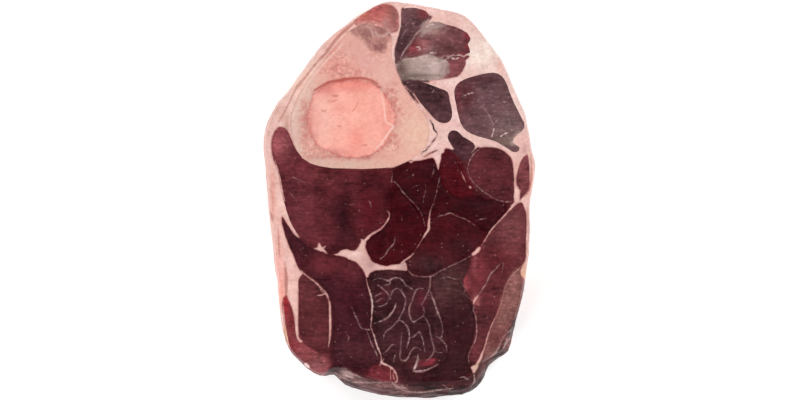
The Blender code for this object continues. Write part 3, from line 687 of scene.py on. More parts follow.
def gridded_slab(low, high, spacing, gridded_at, closed_at):
    """A closed slab with a square grid of points on one side."""
    across = high.x - low.x + 2 * SLAB_MARGIN
    along = high.y - low.y + 2 * SLAB_MARGIN
    bm = bmesh.new()
    bmesh.ops.create_grid(bm, x_segments=max(int(across / spacing), 2),
                          y_segments=max(int(along / spacing), 2), size=0.5)
    bmesh.ops.scale(bm, vec=(across, along, 1), verts=bm.verts)
    middle = (low + high) / 2
    bmesh.ops.translate(bm, vec=(middle.x, middle.y, gridded_at), verts=bm.verts)
    rim = [edge for edge in bm.edges if edge.is_boundary]
    walls = bmesh.ops.extrude_edge_only(bm, edges=rim)["geom"]
    lowered = [item for item in walls if isinstance(item, bmesh.types.BMVert)]
    for vert in lowered:
        vert.co.z = closed_at
    bmesh.ops.contextual_create(bm, geom=[e for e in bm.edges if e.is_boundary])
    bmesh.ops.recalc_face_normals(bm, faces=bm.faces)
    mesh = bpy.data.meshes.new("slab")
    bm.to_mesh(mesh)
    bm.free()
    slab = bpy.data.objects.new("slab", mesh)
    bpy.context.scene.collection.objects.link(slab)
    return slab


def gridded_piece(name, bm):
    """The merged copy with both cut faces gridded, as an object at the origin."""
    mesh = bpy.data.meshes.new(name)
    bm.to_mesh(mesh)
    piece = bpy.data.objects.new(name, mesh)
    bpy.context.scene.collection.objects.link(piece)
    low, high = (Vector([f(v.co[k] for v in bm.verts) for k in range(3)]) for f in (min, max))
    slabs = (gridded_slab(low, high, TOP_GRID, TOP - FACE_TRIM, -2 * FACE_TRIM),
             gridded_slab(low, high, BASE_GRID, FACE_TRIM, TOP + 2 * FACE_TRIM))
    for slab in slabs:
        trim = piece.modifiers.new("trim", "BOOLEAN")
        trim.operation = "INTERSECT"
        trim.solver = "MANIFOLD"
        trim.object = slab
    bpy.context.view_layer.update()
    evaluated = piece.evaluated_get(bpy.context.evaluated_depsgraph_get())
    finished = bpy.data.meshes.new_from_object(evaluated)
    piece.modifiers.clear()
    piece.data = finished
    finished.name = name
    bpy.data.meshes.remove(mesh)
    for slab in slabs:
        bpy.data.objects.remove(slab)
    return piece


pieces = {}
outlines = {}
for node in sorted(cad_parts):
    bm = merged_copy(node)
    if node == "fat_web":
        wall = side_wall(bm)
        outlines[node] = ring_segments(bm, wall)
        bmesh.ops.subdivide_edges(bm, edges=list({e for f in wall for e in f.edges}), cuts=WALL_CUTS,
                                  use_grid_fill=True)
    else:
        outlines[node] = ring_segments(bm)
        let_out(bm, PLUG_GROWTH)
    pieces[node] = gridded_piece("raw_" + node, bm)
    bm.free()
print("points:", sum(len(piece.data.vertices) for piece in pieces.values()))

# %% [markdown]
# The saw leaves the bone nearly flat. The meat round it has shrunk and slumped a little: each
# muscle sinks at its seams, and the fat lies slightly lower. The relief is a sum of those terms
# and two sizes of noise, the same rule on both cut faces.

# %% The relief of the cut faces
SWELL = {"marrow": 0.2 * MM, "tendon": 0.3 * MM}      # how far a piece's middle stands over its edge
EDGE_FALL = 0.1 * MM
EDGE_REACH = 1.2 * MM
LIP_SLOPE = 0.5                       # how steeply a piece falls outside its own outline
RIM_FALL = 0.35 * MM
RIM_REACH = 0.9 * MM
SAWN_SHARE = 0.15                     # what the saw leaves of the noise on bone
FACE_NOISE = ((0.010, 0.22 * MM), (0.0028, 0.07 * MM))      # wavelength in metres, height
TOP_SEED = 1.0
BASE_SEED = 7.0
WALL_REACH = 1.2 * MM
WALL_NOISE = (                        # rate along the height, wavelength, height, seed
    (1.6, 0.009, 0.45 * MM, 3.0),
    (2.4, 0.009 / 3, 0.45 * MM / 4, 4.0),
)


def noise_at(places, wavelength, seed):
    """Smooth noise, -1 to 1, at each place."""
    shift = Vector((seed, -seed, 2 * seed))
    return np.array([noise.noise(Vector(place) / wavelength + shift) for place in places])


def points_of(piece):
    """A piece's points and normals as arrays."""
    found = []
    for rows, field in ((piece.data.vertices, "co"), (piece.data.vertex_normals, "vector")):
        values = np.empty(len(rows) * 3, np.float32)
        rows.foreach_get(field, values)
        found.append(values.reshape(-1, 3).astype(float))
    return found


def outline_depth(at, node):
    """How far inside the piece's own outline each point lies, in metres."""
    starts, ends = outlines[node]
    gap = segment_distance(at, starts, ends)
    return np.where(crossings_inside(at, starts, ends), gap, -gap) * PIXEL


def cut_face_relief(node, places, at, seed):
    """Height of a cut face over its level."""
    depth = outline_depth(at, node)
    level = places * (1, 1, 0)
    height = sum(noise_at(level, wavelength, seed) * rise for wavelength, rise in FACE_NOISE)
    if node == "fat_web":
        return height - EDGE_FALL - RIM_FALL * np.exp(-np.maximum(depth, 0) / RIM_REACH)
    if node == "bone":
        return SAWN_SHARE * height
    rise = 1 - np.exp(-np.maximum(depth, 0) / EDGE_REACH)
    return height - EDGE_FALL + SWELL.get(node, EDGE_FALL) * rise - np.maximum(-depth, 0) * LIP_SLOPE


def shape(node, piece):
    """Give a piece its relief on both faces, and the web its soft outer side."""
    places, normals = points_of(piece)
    at = to_pixels(places)
    upper = places[:, 2] > TOP - FACE_TRIM - 2 * WELD
    lower = places[:, 2] < FACE_TRIM + 2 * WELD
    places[upper, 2] = TOP + cut_face_relief(node, places[upper], at[upper], TOP_SEED)
    places[lower, 2] = -cut_face_relief(node, places[lower], at[lower], BASE_SEED)
    if node == "fat_web":
        side = ~upper & ~lower & (outline_depth(at, node) < WALL_REACH)
        swing = sum(noise_at(places[side] * (1, 1, rate), wavelength, seed) * height
                    for rate, wavelength, height, seed in WALL_NOISE)
        places[side] += normals[side] * swing[:, None]
    places[:, 2] = np.clip(places[:, 2], 0, None)
    piece.data.vertices.foreach_set("co", places.astype(np.float32).ravel())
    piece.data.update()


for node, piece in pieces.items():
    shape(node, piece)
highest = max(vert.co.z for vert in pieces["muscle_round"].data.vertices)
print("highest point of the round muscle:", round(highest / MM, 2), "mm")

# %% [markdown]
# Now the painting. Every point of every piece gets the colour of its meat and of its fat, and
# the distances to the drawn shapes. On the web, fat is what no dark seam covers, and its dark
# parts take the colour of the muscles nearby, weighted by how near they are. On the outer side
# the drawn shapes wander a little, so that no band runs dead straight from face to face.

# %% Paint the pieces
NEARNESS_POWER = 4
NEARNESS_REACH = 40.0        # in pixels
NEARNESS_START = 0.3
NEARNESS_END = NEARNESS_REACH + 0.31      # past the reach, so that no weight is zero
LINE_THIN = 0.2              # the lines are drawn this much too wide, in pixels
DRIFT = 3.5                  # how far the shapes wander on the outer side, in pixels
DRIFT_WAVELENGTH = 0.014     # in metres
DRIFT_SEEDS = (11.0, 17.0)
OWN_COLOURS = {**MEAT, "bone": BONE, "marrow": MARROW}


def meat_colour(node, at):
    """The colour of the lean, bone or marrow at each point of a piece."""
    if node in OWN_COLOURS:
        return zoned_colour(at, *OWN_COLOURS[node])
    total = np.zeros((len(at), 3))
    weights = np.zeros(len(at))
    for other in MEAT:
        starts, ends = outlines[other]
        gap = segment_distance(at, starts, ends, far=NEARNESS_REACH)
        near = 1 / (gap + NEARNESS_START) ** NEARNESS_POWER - 1 / NEARNESS_END ** NEARNESS_POWER
        total += zoned_colour(at, *MEAT[other]) * near[:, None]
        weights += near
    return total / weights[:, None]


def paint(piece, name, values):
    """Store one number or one colour for each point."""
    kind = "FLOAT" if values.ndim == 1 else "FLOAT_COLOR"
    layer = piece.data.attributes.new(name, kind, "POINT")
    if values.ndim == 1:
        layer.data.foreach_set("value", values.astype(np.float32))
    else:
        rows = np.hstack((values, np.ones((len(values), 1))))
        layer.data.foreach_set("color", rows.astype(np.float32).ravel())


def side_drift(places):
    """How far the drawn shapes wander between the two cut faces, in pixels."""
    share = np.sin(np.clip(places[:, 2] / TOP, 0, 1) * math.pi)
    swing = np.stack([noise_at(places, DRIFT_WAVELENGTH, seed) for seed in DRIFT_SEEDS], 1)
    return swing * share[:, None] * DRIFT


for node, piece in pieces.items():
    places = points_of(piece)[0]
    at = to_pixels(places)
    if node == "fat_web":
        at = at + side_drift(places)
    fat = np.minimum(nearest(at, FAT_LINES) + LINE_THIN, nearest(at, areas=FAT_PATCHES))
    if node == "fat_web":
        fat = np.minimum(fat, -nearest(at, SEAM_LINES, LEAN_AREAS))
        skin = area_distance(at, SKIN_AREA)
        fat = np.where(skin < 0, np.maximum(fat, -skin), fat)
        paint(piece, "skin", skin)
        paint(piece, "skin_tone", zoned_colour(at, *SKIN))
        paint(piece, "fat_on_skin", nearest(at, SKIN_THREADS))
        paint(piece, "slit_shade", nearest(at, SLIT_SHADE_LINES))
    paint(piece, "meat", meat_colour(node, at))
    paint(piece, "fat", fat)
    paint(piece, "red", nearest(at, RED_LINES))
    paint(piece, "pale_and_glint", nearest(at, PALE_AND_GLINT_LINES))
    if node == "bone":
        sponge = sum(share * zone_share(at, *zone) for *zone, share in SPONGE_ZONES)
        paint(piece, "sponge", np.minimum(sponge, 1))
    if node in ("bone", "marrow"):
        paint(piece, "dark", nearest(at, DARK_LINES, DARK_PATCHES))
        paint(piece, "from_marrow", segment_distance(at, *outlines["marrow"]))
    else:
        paint(piece, "fat_tone", zoned_colour(at, *FAT))
        paint(piece, "sinew", nearest(at, SINEW_LINES) + LINE_THIN)
        paint(piece, "grey_and_sheen", nearest(at, areas=GREY_AND_SHEEN_PATCHES))
print("painted", len(pieces), "pieces")

# %% [markdown]
# The shaders turn those painted values into a surface. Small helpers keep their node trees
# short: one adds any node with its inputs, some name the few sums that come back all the time,
# and the last starts a group with named sockets.

# %% Helpers for node trees
def add(tree, kind, inputs=(), **settings):
    """A shader node; its inputs are given by socket, as a value or as another node's socket."""
    made = tree.nodes.new("ShaderNode" + kind)
    for name, value in settings.items():
        setattr(made, name, value)
    for socket, value in dict(inputs).items():
        if isinstance(value, bpy.types.NodeSocket):
            tree.links.new(value, made.inputs[socket])
        else:
            made.inputs[socket].default_value = value
    return made


def maths(tree, operation, *values):
    """The result of one sum on values or sockets."""
    return add(tree, "Math", enumerate(values), operation=operation).outputs[0]


def times(tree, first, second):
    """A product."""
    return maths(tree, "MULTIPLY", first, second)


def plus(tree, first, second):
    """A sum."""
    return maths(tree, "ADD", first, second)


def less(tree, first, second):
    """A difference."""
    return maths(tree, "SUBTRACT", first, second)


def swing_of(tree, value, strength):
    """How far a noise lies from its middle, times a strength."""
    return times(tree, less(tree, value, 0.5), strength)


def ramp(tree, value, low, high, to_low=0.0, to_high=1.0):
    """A value stretched so that low and high land on two new ends, and clamped there."""
    return add(tree, "MapRange", {"Value": value, "From Min": low, "From Max": high,
                                  "To Min": to_low, "To Max": to_high}).outputs[0]


def blend(tree, share, under, over, mode="MIX"):
    """One colour laid over another by a share."""
    return add(tree, "Mix", {0: share, 6: under, 7: over}, data_type="RGBA", blend_type=mode).outputs[2]


def scaled(tree, colour, factor):
    """A colour made lighter or darker by a factor."""
    return add(tree, "VectorMath", {0: colour, "Scale": factor}, operation="SCALE").outputs[0]


def own_place(tree):
    """The place on the piece, in Object coordinates."""
    return add(tree, "TexCoord").outputs["Object"]


def stretched_noise(tree, scale, detail=3.0, rough=0.5):
    """Noise on Object coordinates, with its own scale along each axis, per metre."""
    spread = add(tree, "Mapping", {"Vector": own_place(tree), "Scale": scale}).outputs[0]
    return add(tree, "TexNoise", {"Vector": spread, "Scale": 1.0, "Detail": detail,
                                  "Roughness": rough}).outputs[0]


def start_group(name, inputs, outputs):
    """A new shader group, where a socket called Colour is a colour and any other is a number.

    Gives its tree, its inside inputs and its outputs.
    """
    tree = bpy.data.node_groups.new(name, "ShaderNodeTree")
    kinds = {"Colour": "NodeSocketColor"}
    for title, default in inputs.items():
        kind = kinds.get(title, "NodeSocketFloat")
        tree.interface.new_socket(title, in_out="INPUT", socket_type=kind).default_value = default
    for title in outputs:
        tree.interface.new_socket(title, in_out="OUTPUT", socket_type=kinds.get(title, "NodeSocketFloat"))
    return tree, tree.nodes.new("NodeGroupInput").outputs, tree.nodes.new("NodeGroupOutput").inputs


def tone(*colour):
    """A screen colour as the four linear values of a colour socket."""
    return (*linear(colour), 1.0)


print("middle grey is", round(tone(128, 128, 128)[0], 3), "in linear light")

# %% [markdown]
# A painted distance becomes a mask with a slightly ragged edge, since fat and sinew tear and
# smear under the saw. The same group serves threads, patches, bands and the skin.

# %% Group: the mask of a painted shape
WEAR_SCALE = (330, 330, 330)      # scales of noise are per metre, here and below
WEAR_RANGE = (0.36, 0.58)

tree, inside, outside = start_group(
    "shape mask", {"Distance": 0.0, "Softness": 0.6, "Ragged": 0.8, "Scale": 900.0, "Patchy": 0.0}, ("Mask",))
shape_mask = tree
rag = add(tree, "TexNoise", {"Vector": own_place(tree), "Scale": inside["Scale"], "Detail": 2.0}).outputs[0]
edge = plus(tree, inside["Distance"], swing_of(tree, rag, inside["Ragged"]))
fade = add(tree, "MapRange", {
    "Value": edge, "From Min": inside["Softness"], "From Max": times(tree, inside["Softness"], -1.0),
}, interpolation_type="SMOOTHSTEP").outputs[0]
worn = ramp(tree, stretched_noise(tree, WEAR_SCALE, 2.0), *WEAR_RANGE, less(tree, 1.0, inside["Patchy"]))
tree.links.new(times(tree, fade, worn), outside["Mask"])
print(tree.name, "has", len(tree.nodes), "nodes")

# %% [markdown]
# Lean meat cut across the grain shows the ends of its bundles as a fine mottle, and the blade
# drags faint streaks sideways over them. Pale flecks are the thin sinew between the bundles, and
# rare pale specks are painted glints of the wet surface.

# %% Group: the grain of lean meat
MOTTLE_SCALE = (560, 800, 560)
STREAK_SCALE = (160, 1000, 200)
CLOUD_SCALE = (110, 110, 110)
GRAIN_STRENGTH = 2.9
FLECK_RANGE = (0.57, 0.72)
FLECK_LIFT = (1.8, 2.4, 2.3)      # how much paler a fleck is, in red, green and blue
GLINT_SPECK_SCALE = 900.0
GLINT_SPECK_RANGE = (0.36, 0.1)
GLINT_SPECK_RARITY = 0.955
GLINT_SPECK_TONE = tone(206, 158, 154)

tree, inside, outside = start_group(
    "meat grain", {"Colour": tone(90, 30, 36), "Contrast": 0.5, "Streaks": 0.5, "Flecks": 0.25,
                   "Specks": 0.5}, ("Colour", "Height"))
meat_grain = tree
mottle = stretched_noise(tree, MOTTLE_SCALE, 4.0, 0.6)
streaks = stretched_noise(tree, STREAK_SCALE, 4.0)
clouds = stretched_noise(tree, CLOUD_SCALE, 2.0)
swing = swing_of(tree, mottle, inside["Contrast"])
swing = plus(tree, swing, swing_of(tree, streaks, inside["Streaks"]))
swing = plus(tree, swing, swing_of(tree, clouds, inside["Contrast"]))
shaded = scaled(tree, inside["Colour"], maths(tree, "MULTIPLY_ADD", swing, GRAIN_STRENGTH, 1.0))
fleck = times(tree, ramp(tree, mottle, *FLECK_RANGE), inside["Flecks"])
paler = add(tree, "VectorMath", {0: shaded, 1: FLECK_LIFT}, operation="MULTIPLY").outputs[0]
flecked = blend(tree, fleck, shaded, paler)
# rare pale dots laid over the grain: painted glints of the wet surface
glint_cells = add(tree, "TexVoronoi", {"Vector": own_place(tree), "Scale": GLINT_SPECK_SCALE}).outputs
rare = add(tree, "SeparateColor", {0: glint_cells["Color"]}).outputs[0]
rare = maths(tree, "GREATER_THAN", rare, GLINT_SPECK_RARITY)
near = ramp(tree, glint_cells["Distance"], *GLINT_SPECK_RANGE)
glint_speck = times(tree, times(tree, near, rare), inside["Specks"])
tree.links.new(blend(tree, glint_speck, flecked, GLINT_SPECK_TONE), outside["Colour"])
tree.links.new(plus(tree, times(tree, mottle, 0.6), times(tree, streaks, 0.4)), outside["Height"])
print(tree.name, "has", len(tree.nodes), "nodes")

# %% [markdown]
# Fat is made of soft lobules, creamier in their middles and pinker where blood runs between.
# Where it thins out over the meat, at the edge of its painted shape, the meat dulls it.

# %% Group: the lobules of fat
LOBULE_SCALE = 300.0
BLUSH_SCALE = (170, 150, 120)
BLUSH_RANGE = (0.42, 0.72)
BLUSH_TONE = tone(232, 200, 196)
CRUMB_SCALE = (640, 820, 640)
CRUMB_STRENGTH = 1.5
THIN_RANGE = (0.3, -1.7)          # in pixels from the painted edge
THIN_TONE = tone(216, 186, 188)

tree, inside, outside = start_group(
    "fat tissue", {"Colour": tone(236, 196, 186), "Contrast": 0.5, "Distance": -6.0}, ("Colour", "Height"))
fat_tissue = tree
lobules = add(tree, "TexVoronoi", {"Vector": own_place(tree), "Scale": LOBULE_SCALE},
              feature="SMOOTH_F1").outputs["Distance"]
blush = ramp(tree, stretched_noise(tree, BLUSH_SCALE, 4.0), *BLUSH_RANGE)
pink = times(tree, plus(tree, blush, times(tree, lobules, 0.5)), inside["Contrast"])
pinker = blend(tree, pink, inside["Colour"], BLUSH_TONE, "MULTIPLY")
crumb = stretched_noise(tree, CRUMB_SCALE, 4.0, 0.66)
crumb = swing_of(tree, crumb, times(tree, inside["Contrast"], CRUMB_STRENGTH))
mottled = scaled(tree, pinker, plus(tree, crumb, 1.0))
depth = ramp(tree, inside["Distance"], *THIN_RANGE)
thin = blend(tree, 1.0, mottled, THIN_TONE, "MULTIPLY")
tree.links.new(blend(tree, depth, thin, mottled), outside["Colour"])
tree.links.new(less(tree, 1.0, lobules), outside["Height"])
print(tree.name, "has", len(tree.nodes), "nodes")

# %% [markdown]
# Sawn bone is dense at its rim and spongy near the marrow: fine dark pores in a rosy ground.

# %% Group: the pores of sawn bone
PORE_SCALE = (620, 620, 620)
PORE_RANGE = (0.46, 0.64)
PORE_TONE = tone(196, 118, 112)
ROSE_SCALE = (260, 260, 260)
ROSE_RANGE = (0.4, 0.68)
ROSE_TONE = tone(206, 128, 120)
DUST_SCALE = (900, 900, 900)
DUST_STRENGTHS = (0.15, 1.5)      # on dense and on spongy bone

tree, inside, outside = start_group(
    "bone pores", {"Colour": tone(228, 180, 168), "Sponge": 0.5}, ("Colour", "Height"))
bone_pores = tree
holes = ramp(tree, stretched_noise(tree, PORE_SCALE, 4.0), *PORE_RANGE)
holes = times(tree, holes, inside["Sponge"])
rosy = ramp(tree, stretched_noise(tree, ROSE_SCALE), *ROSE_RANGE)
rosy = times(tree, rosy, plus(tree, 0.12, times(tree, inside["Sponge"], 0.5)))
ground = blend(tree, rosy, inside["Colour"], ROSE_TONE)
coarse = ramp(tree, inside["Sponge"], 0.0, 1.0, *DUST_STRENGTHS)
dust = swing_of(tree, stretched_noise(tree, DUST_SCALE, 4.0), coarse)
ground = scaled(tree, ground, plus(tree, dust, 1.0))
tree.links.new(blend(tree, holes, ground, PORE_TONE), outside["Colour"])
tree.links.new(less(tree, 1.0, holes), outside["Height"])
print(tree.name, "has", len(tree.nodes), "nodes")

# %% [markdown]
# Raw meat is wet, but unevenly: the film pools and breaks up. The group gives a roughness that
# drifts between a wet and a dry value.

# %% Group: the wet film
FILM_SCALE = (230, 230, 230)
FILM_RANGE = (0.38, 0.62)

tree, inside, outside = start_group("wet film", {"Wet": 0.3, "Dry": 0.55}, ("Roughness",))
wet_film = tree
film = ramp(tree, stretched_noise(tree, FILM_SCALE, 2.0), *FILM_RANGE, inside["Wet"], inside["Dry"])
tree.links.new(film, outside["Roughness"])
print(tree.name, "has", len(tree.nodes), "nodes")

# %% [markdown]
# Each finish stacks its layers in the order of the real cut: grain first, then sinew, bands,
# fat and skin. Every layer is one painted shape with its own kind of edge, so the layers are a
# table. The lean finishes differ in their contrast and in how wet they look.

# %% Layers, tones and looks
LAYERS = {          # painted shape, softness and raggedness in pixels, scale, patchiness, strength
    "fat in meat": ("fat", 0.55, 1.5, 700, 0.15, 1.0),
    "fat of web": ("fat", 0.6, 1.5, 700, 0.1, 1.0),
    "fat on bone": ("fat", 0.6, 1.0, 900, 0.0, 1.0),
    "sinew": ("sinew", 0.7, 1.8, 800, 0.45, 0.85),
    "grey film and sheen": ("grey_and_sheen", 1.6, 6.0, 700, 0.6, 0.75),
    "grey web and sheen": ("grey_and_sheen", 1.6, 5.0, 500, 0.4, 0.8),
    "torn thread and glint": ("pale_and_glint", 0.6, 2.8, 1100, 0.6, 0.85),
    "pale band and glint": ("pale_and_glint", 1.0, 1.4, 900, 0.0, 0.6),
    "pale bone": ("pale_and_glint", 1.6, 3.0, 700, 0.5, 0.6),
    "marrow thread": ("pale_and_glint", 1.0, 1.4, 900, 0.0, 0.85),
    "red band": ("red", 1.0, 1.6, 900, 0.0, 0.6),
    "blood line": ("red", 1.0, 1.6, 900, 0.0, 0.75),
    "dark bone": ("dark", 3.0, 9.0, 420, 0.4, 0.85),
    "dark fleck": ("dark", 0.8, 1.4, 900, 0.0, 0.55),
    "slit_shade": ("slit_shade", 0.5, 0.8, 900, 0.0, 1.0),
    "skin": ("skin", 1.6, 5.0, 420, 0.0, 1.0),
    "skin strand": ("fat_on_skin", 0.6, 2.2, 800, 0.5, 0.8),
}
SINEW_TONE = tone(152, 112, 113)
SINEW_GLINT = tone(188, 150, 148)
GLINT_SCALE = (380, 380, 380)
GLINT_RANGE = (0.45, 0.62)
TORN_AND_GLINT_TONE = tone(220, 192, 187)
GREY_AND_SHEEN_TONE = tone(170, 146, 140)
RED_TONE = tone(158, 74, 64)
PALE_AND_GLINT_TONE = tone(246, 212, 200)
SLIT_SHADE_TONE = tone(34, 14, 18)
STRAND_TONE = tone(184, 150, 146)
BLOOD_TONE = tone(172, 62, 52)
DARK_BONE_TONE = tone(132, 80, 80)
BONE_FAT_TONE = tone(240, 206, 190)
MARROW_RED = tone(220, 92, 86)
MARROW_DARK = tone(186, 96, 88)
BONE_SEEP = (4.5, 900, (0.48, 0.6), 0.85)         # reach in pixels, scale, range, strength
MARROW_SEEP = (3.5, 800, (0.46, 0.6), 0.8)
BONE_SEEP_TONE = tone(184, 92, 86)
MARROW_SEEP_TONE = tone(196, 102, 96)
SPONGE_REACH = 6.0
SPONGE_SHARES = (0.12, 0.6)       # far from the marrow and beside it
IOR = 1.34
GLOSS = 0.13
WEB_GLOSS = 0.05
WEB_LOOK = (0.5, 0.3, 0.25, 0.25)                 # contrast, streaks, flecks, specks
SILVER_LOOK = (0.8, 0.9, 0.35, 0.3)
# how strongly the painted glints show on lean meat
MEAT_GLINTS = 0.25
MEAT_BUMP = 0.12 * MM
WEB_FILM = (0.14 * MM, 0.3, 0.5)                  # height of the bump, roughness where wet, where dry
BONE_FILM = (0.1 * MM, 0.4, 0.6)
MARROW_FILM = (0.12 * MM, 0.25, 0.45)
LEAN_LOOKS = {      # contrast, streaks, flecks, then the roughness where wet and where dry
    "crest_cap": (0.4, 0.2, 0.1, 0.3, 0.5),
    "tendon": (0.2, 0.22, 0.1, 0.25, 0.4),
    "lean_maroon": (0.5, 0.4, 0.2, 0.3, 0.5),
    "lean_dark": (0.6, 0.4, 0.3, 0.3, 0.5),
    "lean_brown": (0.4, 0.4, 0.45, 0.3, 0.55),
    "lean_bright": (0.4, 0.45, 0.3, 0.28, 0.5),
}
print("layers:", len(LAYERS))


# %% Materials
def use_group(tree, group, **inputs):
    """The outputs of a group's node in a material."""
    return add(tree, "Group", inputs, node_tree=group).outputs


def painted(tree, name):
    """A painted attribute: its number and its colour."""
    read = add(tree, "Attribute", attribute_name=name)
    return read.outputs["Fac"], read.outputs["Color"]


def mask(tree, title):
    """The mask of a layer, by its row of the table."""
    name, softness, ragged, scale, patchy, strength = LAYERS[title]
    share = use_group(tree, shape_mask, Distance=painted(tree, name)[0], Softness=softness, Ragged=ragged,
                      Scale=scale, Patchy=patchy)["Mask"]
    return times(tree, share, strength)


def lay(tree, title, under, over):
    """A layer's colour laid over what is under it."""
    return blend(tree, mask(tree, title), under, over)


def grained(tree, name, contrast, streaks, flecks, glints):
    """A painted colour with the grain of lean meat."""
    return use_group(tree, meat_grain, Colour=painted(tree, name)[1], Contrast=contrast, Streaks=streaks,
                     Flecks=flecks, Specks=glints)


def fatty(tree, contrast):
    """The painted colour of fat with its lobules."""
    return use_group(tree, fat_tissue, Colour=painted(tree, "fat_tone")[1], Contrast=contrast,
                     Distance=painted(tree, "fat")[0])


def sinewed(tree, under, grey_and_sheen_layer):
    """Lean with its grey films, partly a painted silvery sheen, and its threads of sinew, dull for the most
    part and bright in places.

    Gives the colour and the mask of the threads.
    """
    thread = mask(tree, "sinew")
    glint = ramp(tree, stretched_noise(tree, GLINT_SCALE, 2.0), *GLINT_RANGE)
    # grey film, partly a painted silvery sheen
    film_and_sheen = lay(tree, grey_and_sheen_layer, under, GREY_AND_SHEEN_TONE)
    return blend(tree, thread, film_and_sheen, blend(tree, glint, SINEW_TONE, SINEW_GLINT)), thread


def seeping(tree, reach, scale, speckle_range, strength):
    """A mask of blood in speckles along the marrow's edge."""
    near = ramp(tree, painted(tree, "from_marrow")[0], reach, 0.0)
    speckle = ramp(tree, stretched_noise(tree, (scale, scale, scale), 3.0, 0.7), *speckle_range)
    return times(tree, times(tree, near, speckle), strength)


def start_material(name, slot_colour):
    """A new material; gives its tree and its shader."""
    made = bpy.data.materials.new(name)
    made.use_nodes = True
    made.diffuse_color = slot_colour
    shader = made.node_tree.nodes["Principled BSDF"]
    shader.inputs["IOR"].default_value = IOR
    shader.inputs["Specular IOR Level"].default_value = GLOSS
    return made, made.node_tree, shader


def finish_material(tree, shader, colour, height, relief, wet, dry):
    """Link the colour, the film and the bump of a material."""
    tree.links.new(colour, shader.inputs["Base Color"])
    tree.links.new(use_group(tree, wet_film, Wet=wet, Dry=dry)["Roughness"], shader.inputs["Roughness"])
    bump = add(tree, "Bump", {"Height": height, "Strength": 1.0, "Distance": relief})
    tree.links.new(bump.outputs[0], shader.inputs["Normal"])


def flesh(name, contrast, streaks, flecks, wet, dry):
    """Lean meat, crest cap or tendon, with the sinew and fat that run through it."""
    made, tree, shader = start_material(name, tone(90, 40, 46))
    grain = grained(tree, "meat", contrast, streaks, flecks, MEAT_GLINTS)
    fat_mask = mask(tree, "fat in meat")
    colour, thread = sinewed(tree, grain["Colour"], "grey film and sheen")
    colour = blend(tree, fat_mask, colour, fatty(tree, 0.3)["Colour"])
    # pale torn threads, with painted highlights where the wet surface glints
    colour = lay(tree, "torn thread and glint", colour, TORN_AND_GLINT_TONE)
    height = plus(tree, times(tree, grain["Height"], 0.8), plus(tree, fat_mask, thread))
    finish_material(tree, shader, colour, height, MEAT_BUMP, wet, dry)
    return made


def web_fat(name):
    """The fat web: fat with dark seams, the rim's bands and the silverskin."""
    made, tree, shader = start_material(name, tone(236, 192, 182))
    shader.inputs["Specular IOR Level"].default_value = WEB_GLOSS
    fat = fatty(tree, 0.45)
    fat_mask = mask(tree, "fat of web")
    lean = sinewed(tree, grained(tree, "meat", *WEB_LOOK)["Colour"], "grey web and sheen")[0]
    # pale torn threads, with painted highlights where the wet surface glints
    lean = lay(tree, "torn thread and glint", lean, TORN_AND_GLINT_TONE)
    tissue = lay(tree, "red band", fat["Colour"], RED_TONE)
    # pale bands on the fat, among them a painted highlight line along the crest cap
    tissue = lay(tree, "pale band and glint", tissue, PALE_AND_GLINT_TONE)
    colour = blend(tree, fat_mask, lean, tissue)
    # painted shade of the thin gap between bone and meat
    colour = lay(tree, "slit_shade", colour, SLIT_SHADE_TONE)
    silver = lay(tree, "skin strand", grained(tree, "skin_tone", *SILVER_LOOK)["Colour"], STRAND_TONE)
    colour = lay(tree, "skin", colour, silver)
    height = plus(tree, times(tree, fat["Height"], 0.7), fat_mask)
    finish_material(tree, shader, colour, height, *WEB_FILM)
    return made


def bone_finish(name):
    """Sawn bone: dense ring, spongy round the marrow, and bloodied edges."""
    made, tree, shader = start_material(name, tone(228, 180, 168))
    near = ramp(tree, painted(tree, "from_marrow")[0], SPONGE_REACH, 0.0, *SPONGE_SHARES)
    sponge = maths(tree, "MAXIMUM", near, painted(tree, "sponge")[0])
    pores = use_group(tree, bone_pores, Colour=painted(tree, "meat")[1], Sponge=sponge)
    colour = lay(tree, "dark bone", pores["Colour"], DARK_BONE_TONE)
    colour = blend(tree, seeping(tree, *BONE_SEEP), colour, BONE_SEEP_TONE)
    colour = lay(tree, "blood line", colour, BLOOD_TONE)
    colour = lay(tree, "pale bone", colour, PALE_AND_GLINT_TONE)
    colour = lay(tree, "fat on bone", colour, BONE_FAT_TONE)
    finish_material(tree, shader, colour, pores["Height"], *BONE_FILM)
    return made


def marrow_finish(name):
    """Marrow: smooth, rosy, with darker specks and a red upper edge."""
    made, tree, shader = start_material(name, tone(246, 174, 160))
    soft = use_group(tree, fat_tissue, Colour=painted(tree, "meat")[1], Contrast=0.38)
    colour = blend(tree, seeping(tree, *MARROW_SEEP), soft["Colour"], MARROW_SEEP_TONE)
    colour = lay(tree, "dark fleck", colour, MARROW_DARK)
    colour = lay(tree, "blood line", colour, MARROW_RED)
    colour = lay(tree, "marrow thread", colour, PALE_AND_GLINT_TONE)
    finish_material(tree, shader, colour, soft["Height"], *MARROW_FILM)
    return made


finishes = {"fat": web_fat("fat"), "bone": bone_finish("bone"), "marrow": marrow_finish("marrow")}
for name, look in LEAN_LOOKS.items():
    finishes[name] = flesh(name, *look)
print("finishes:", len(finishes))

# %% [markdown]
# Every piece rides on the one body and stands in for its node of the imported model. Only edges
# sharper than the crease angle stay crisp; everything else is shaded smooth.

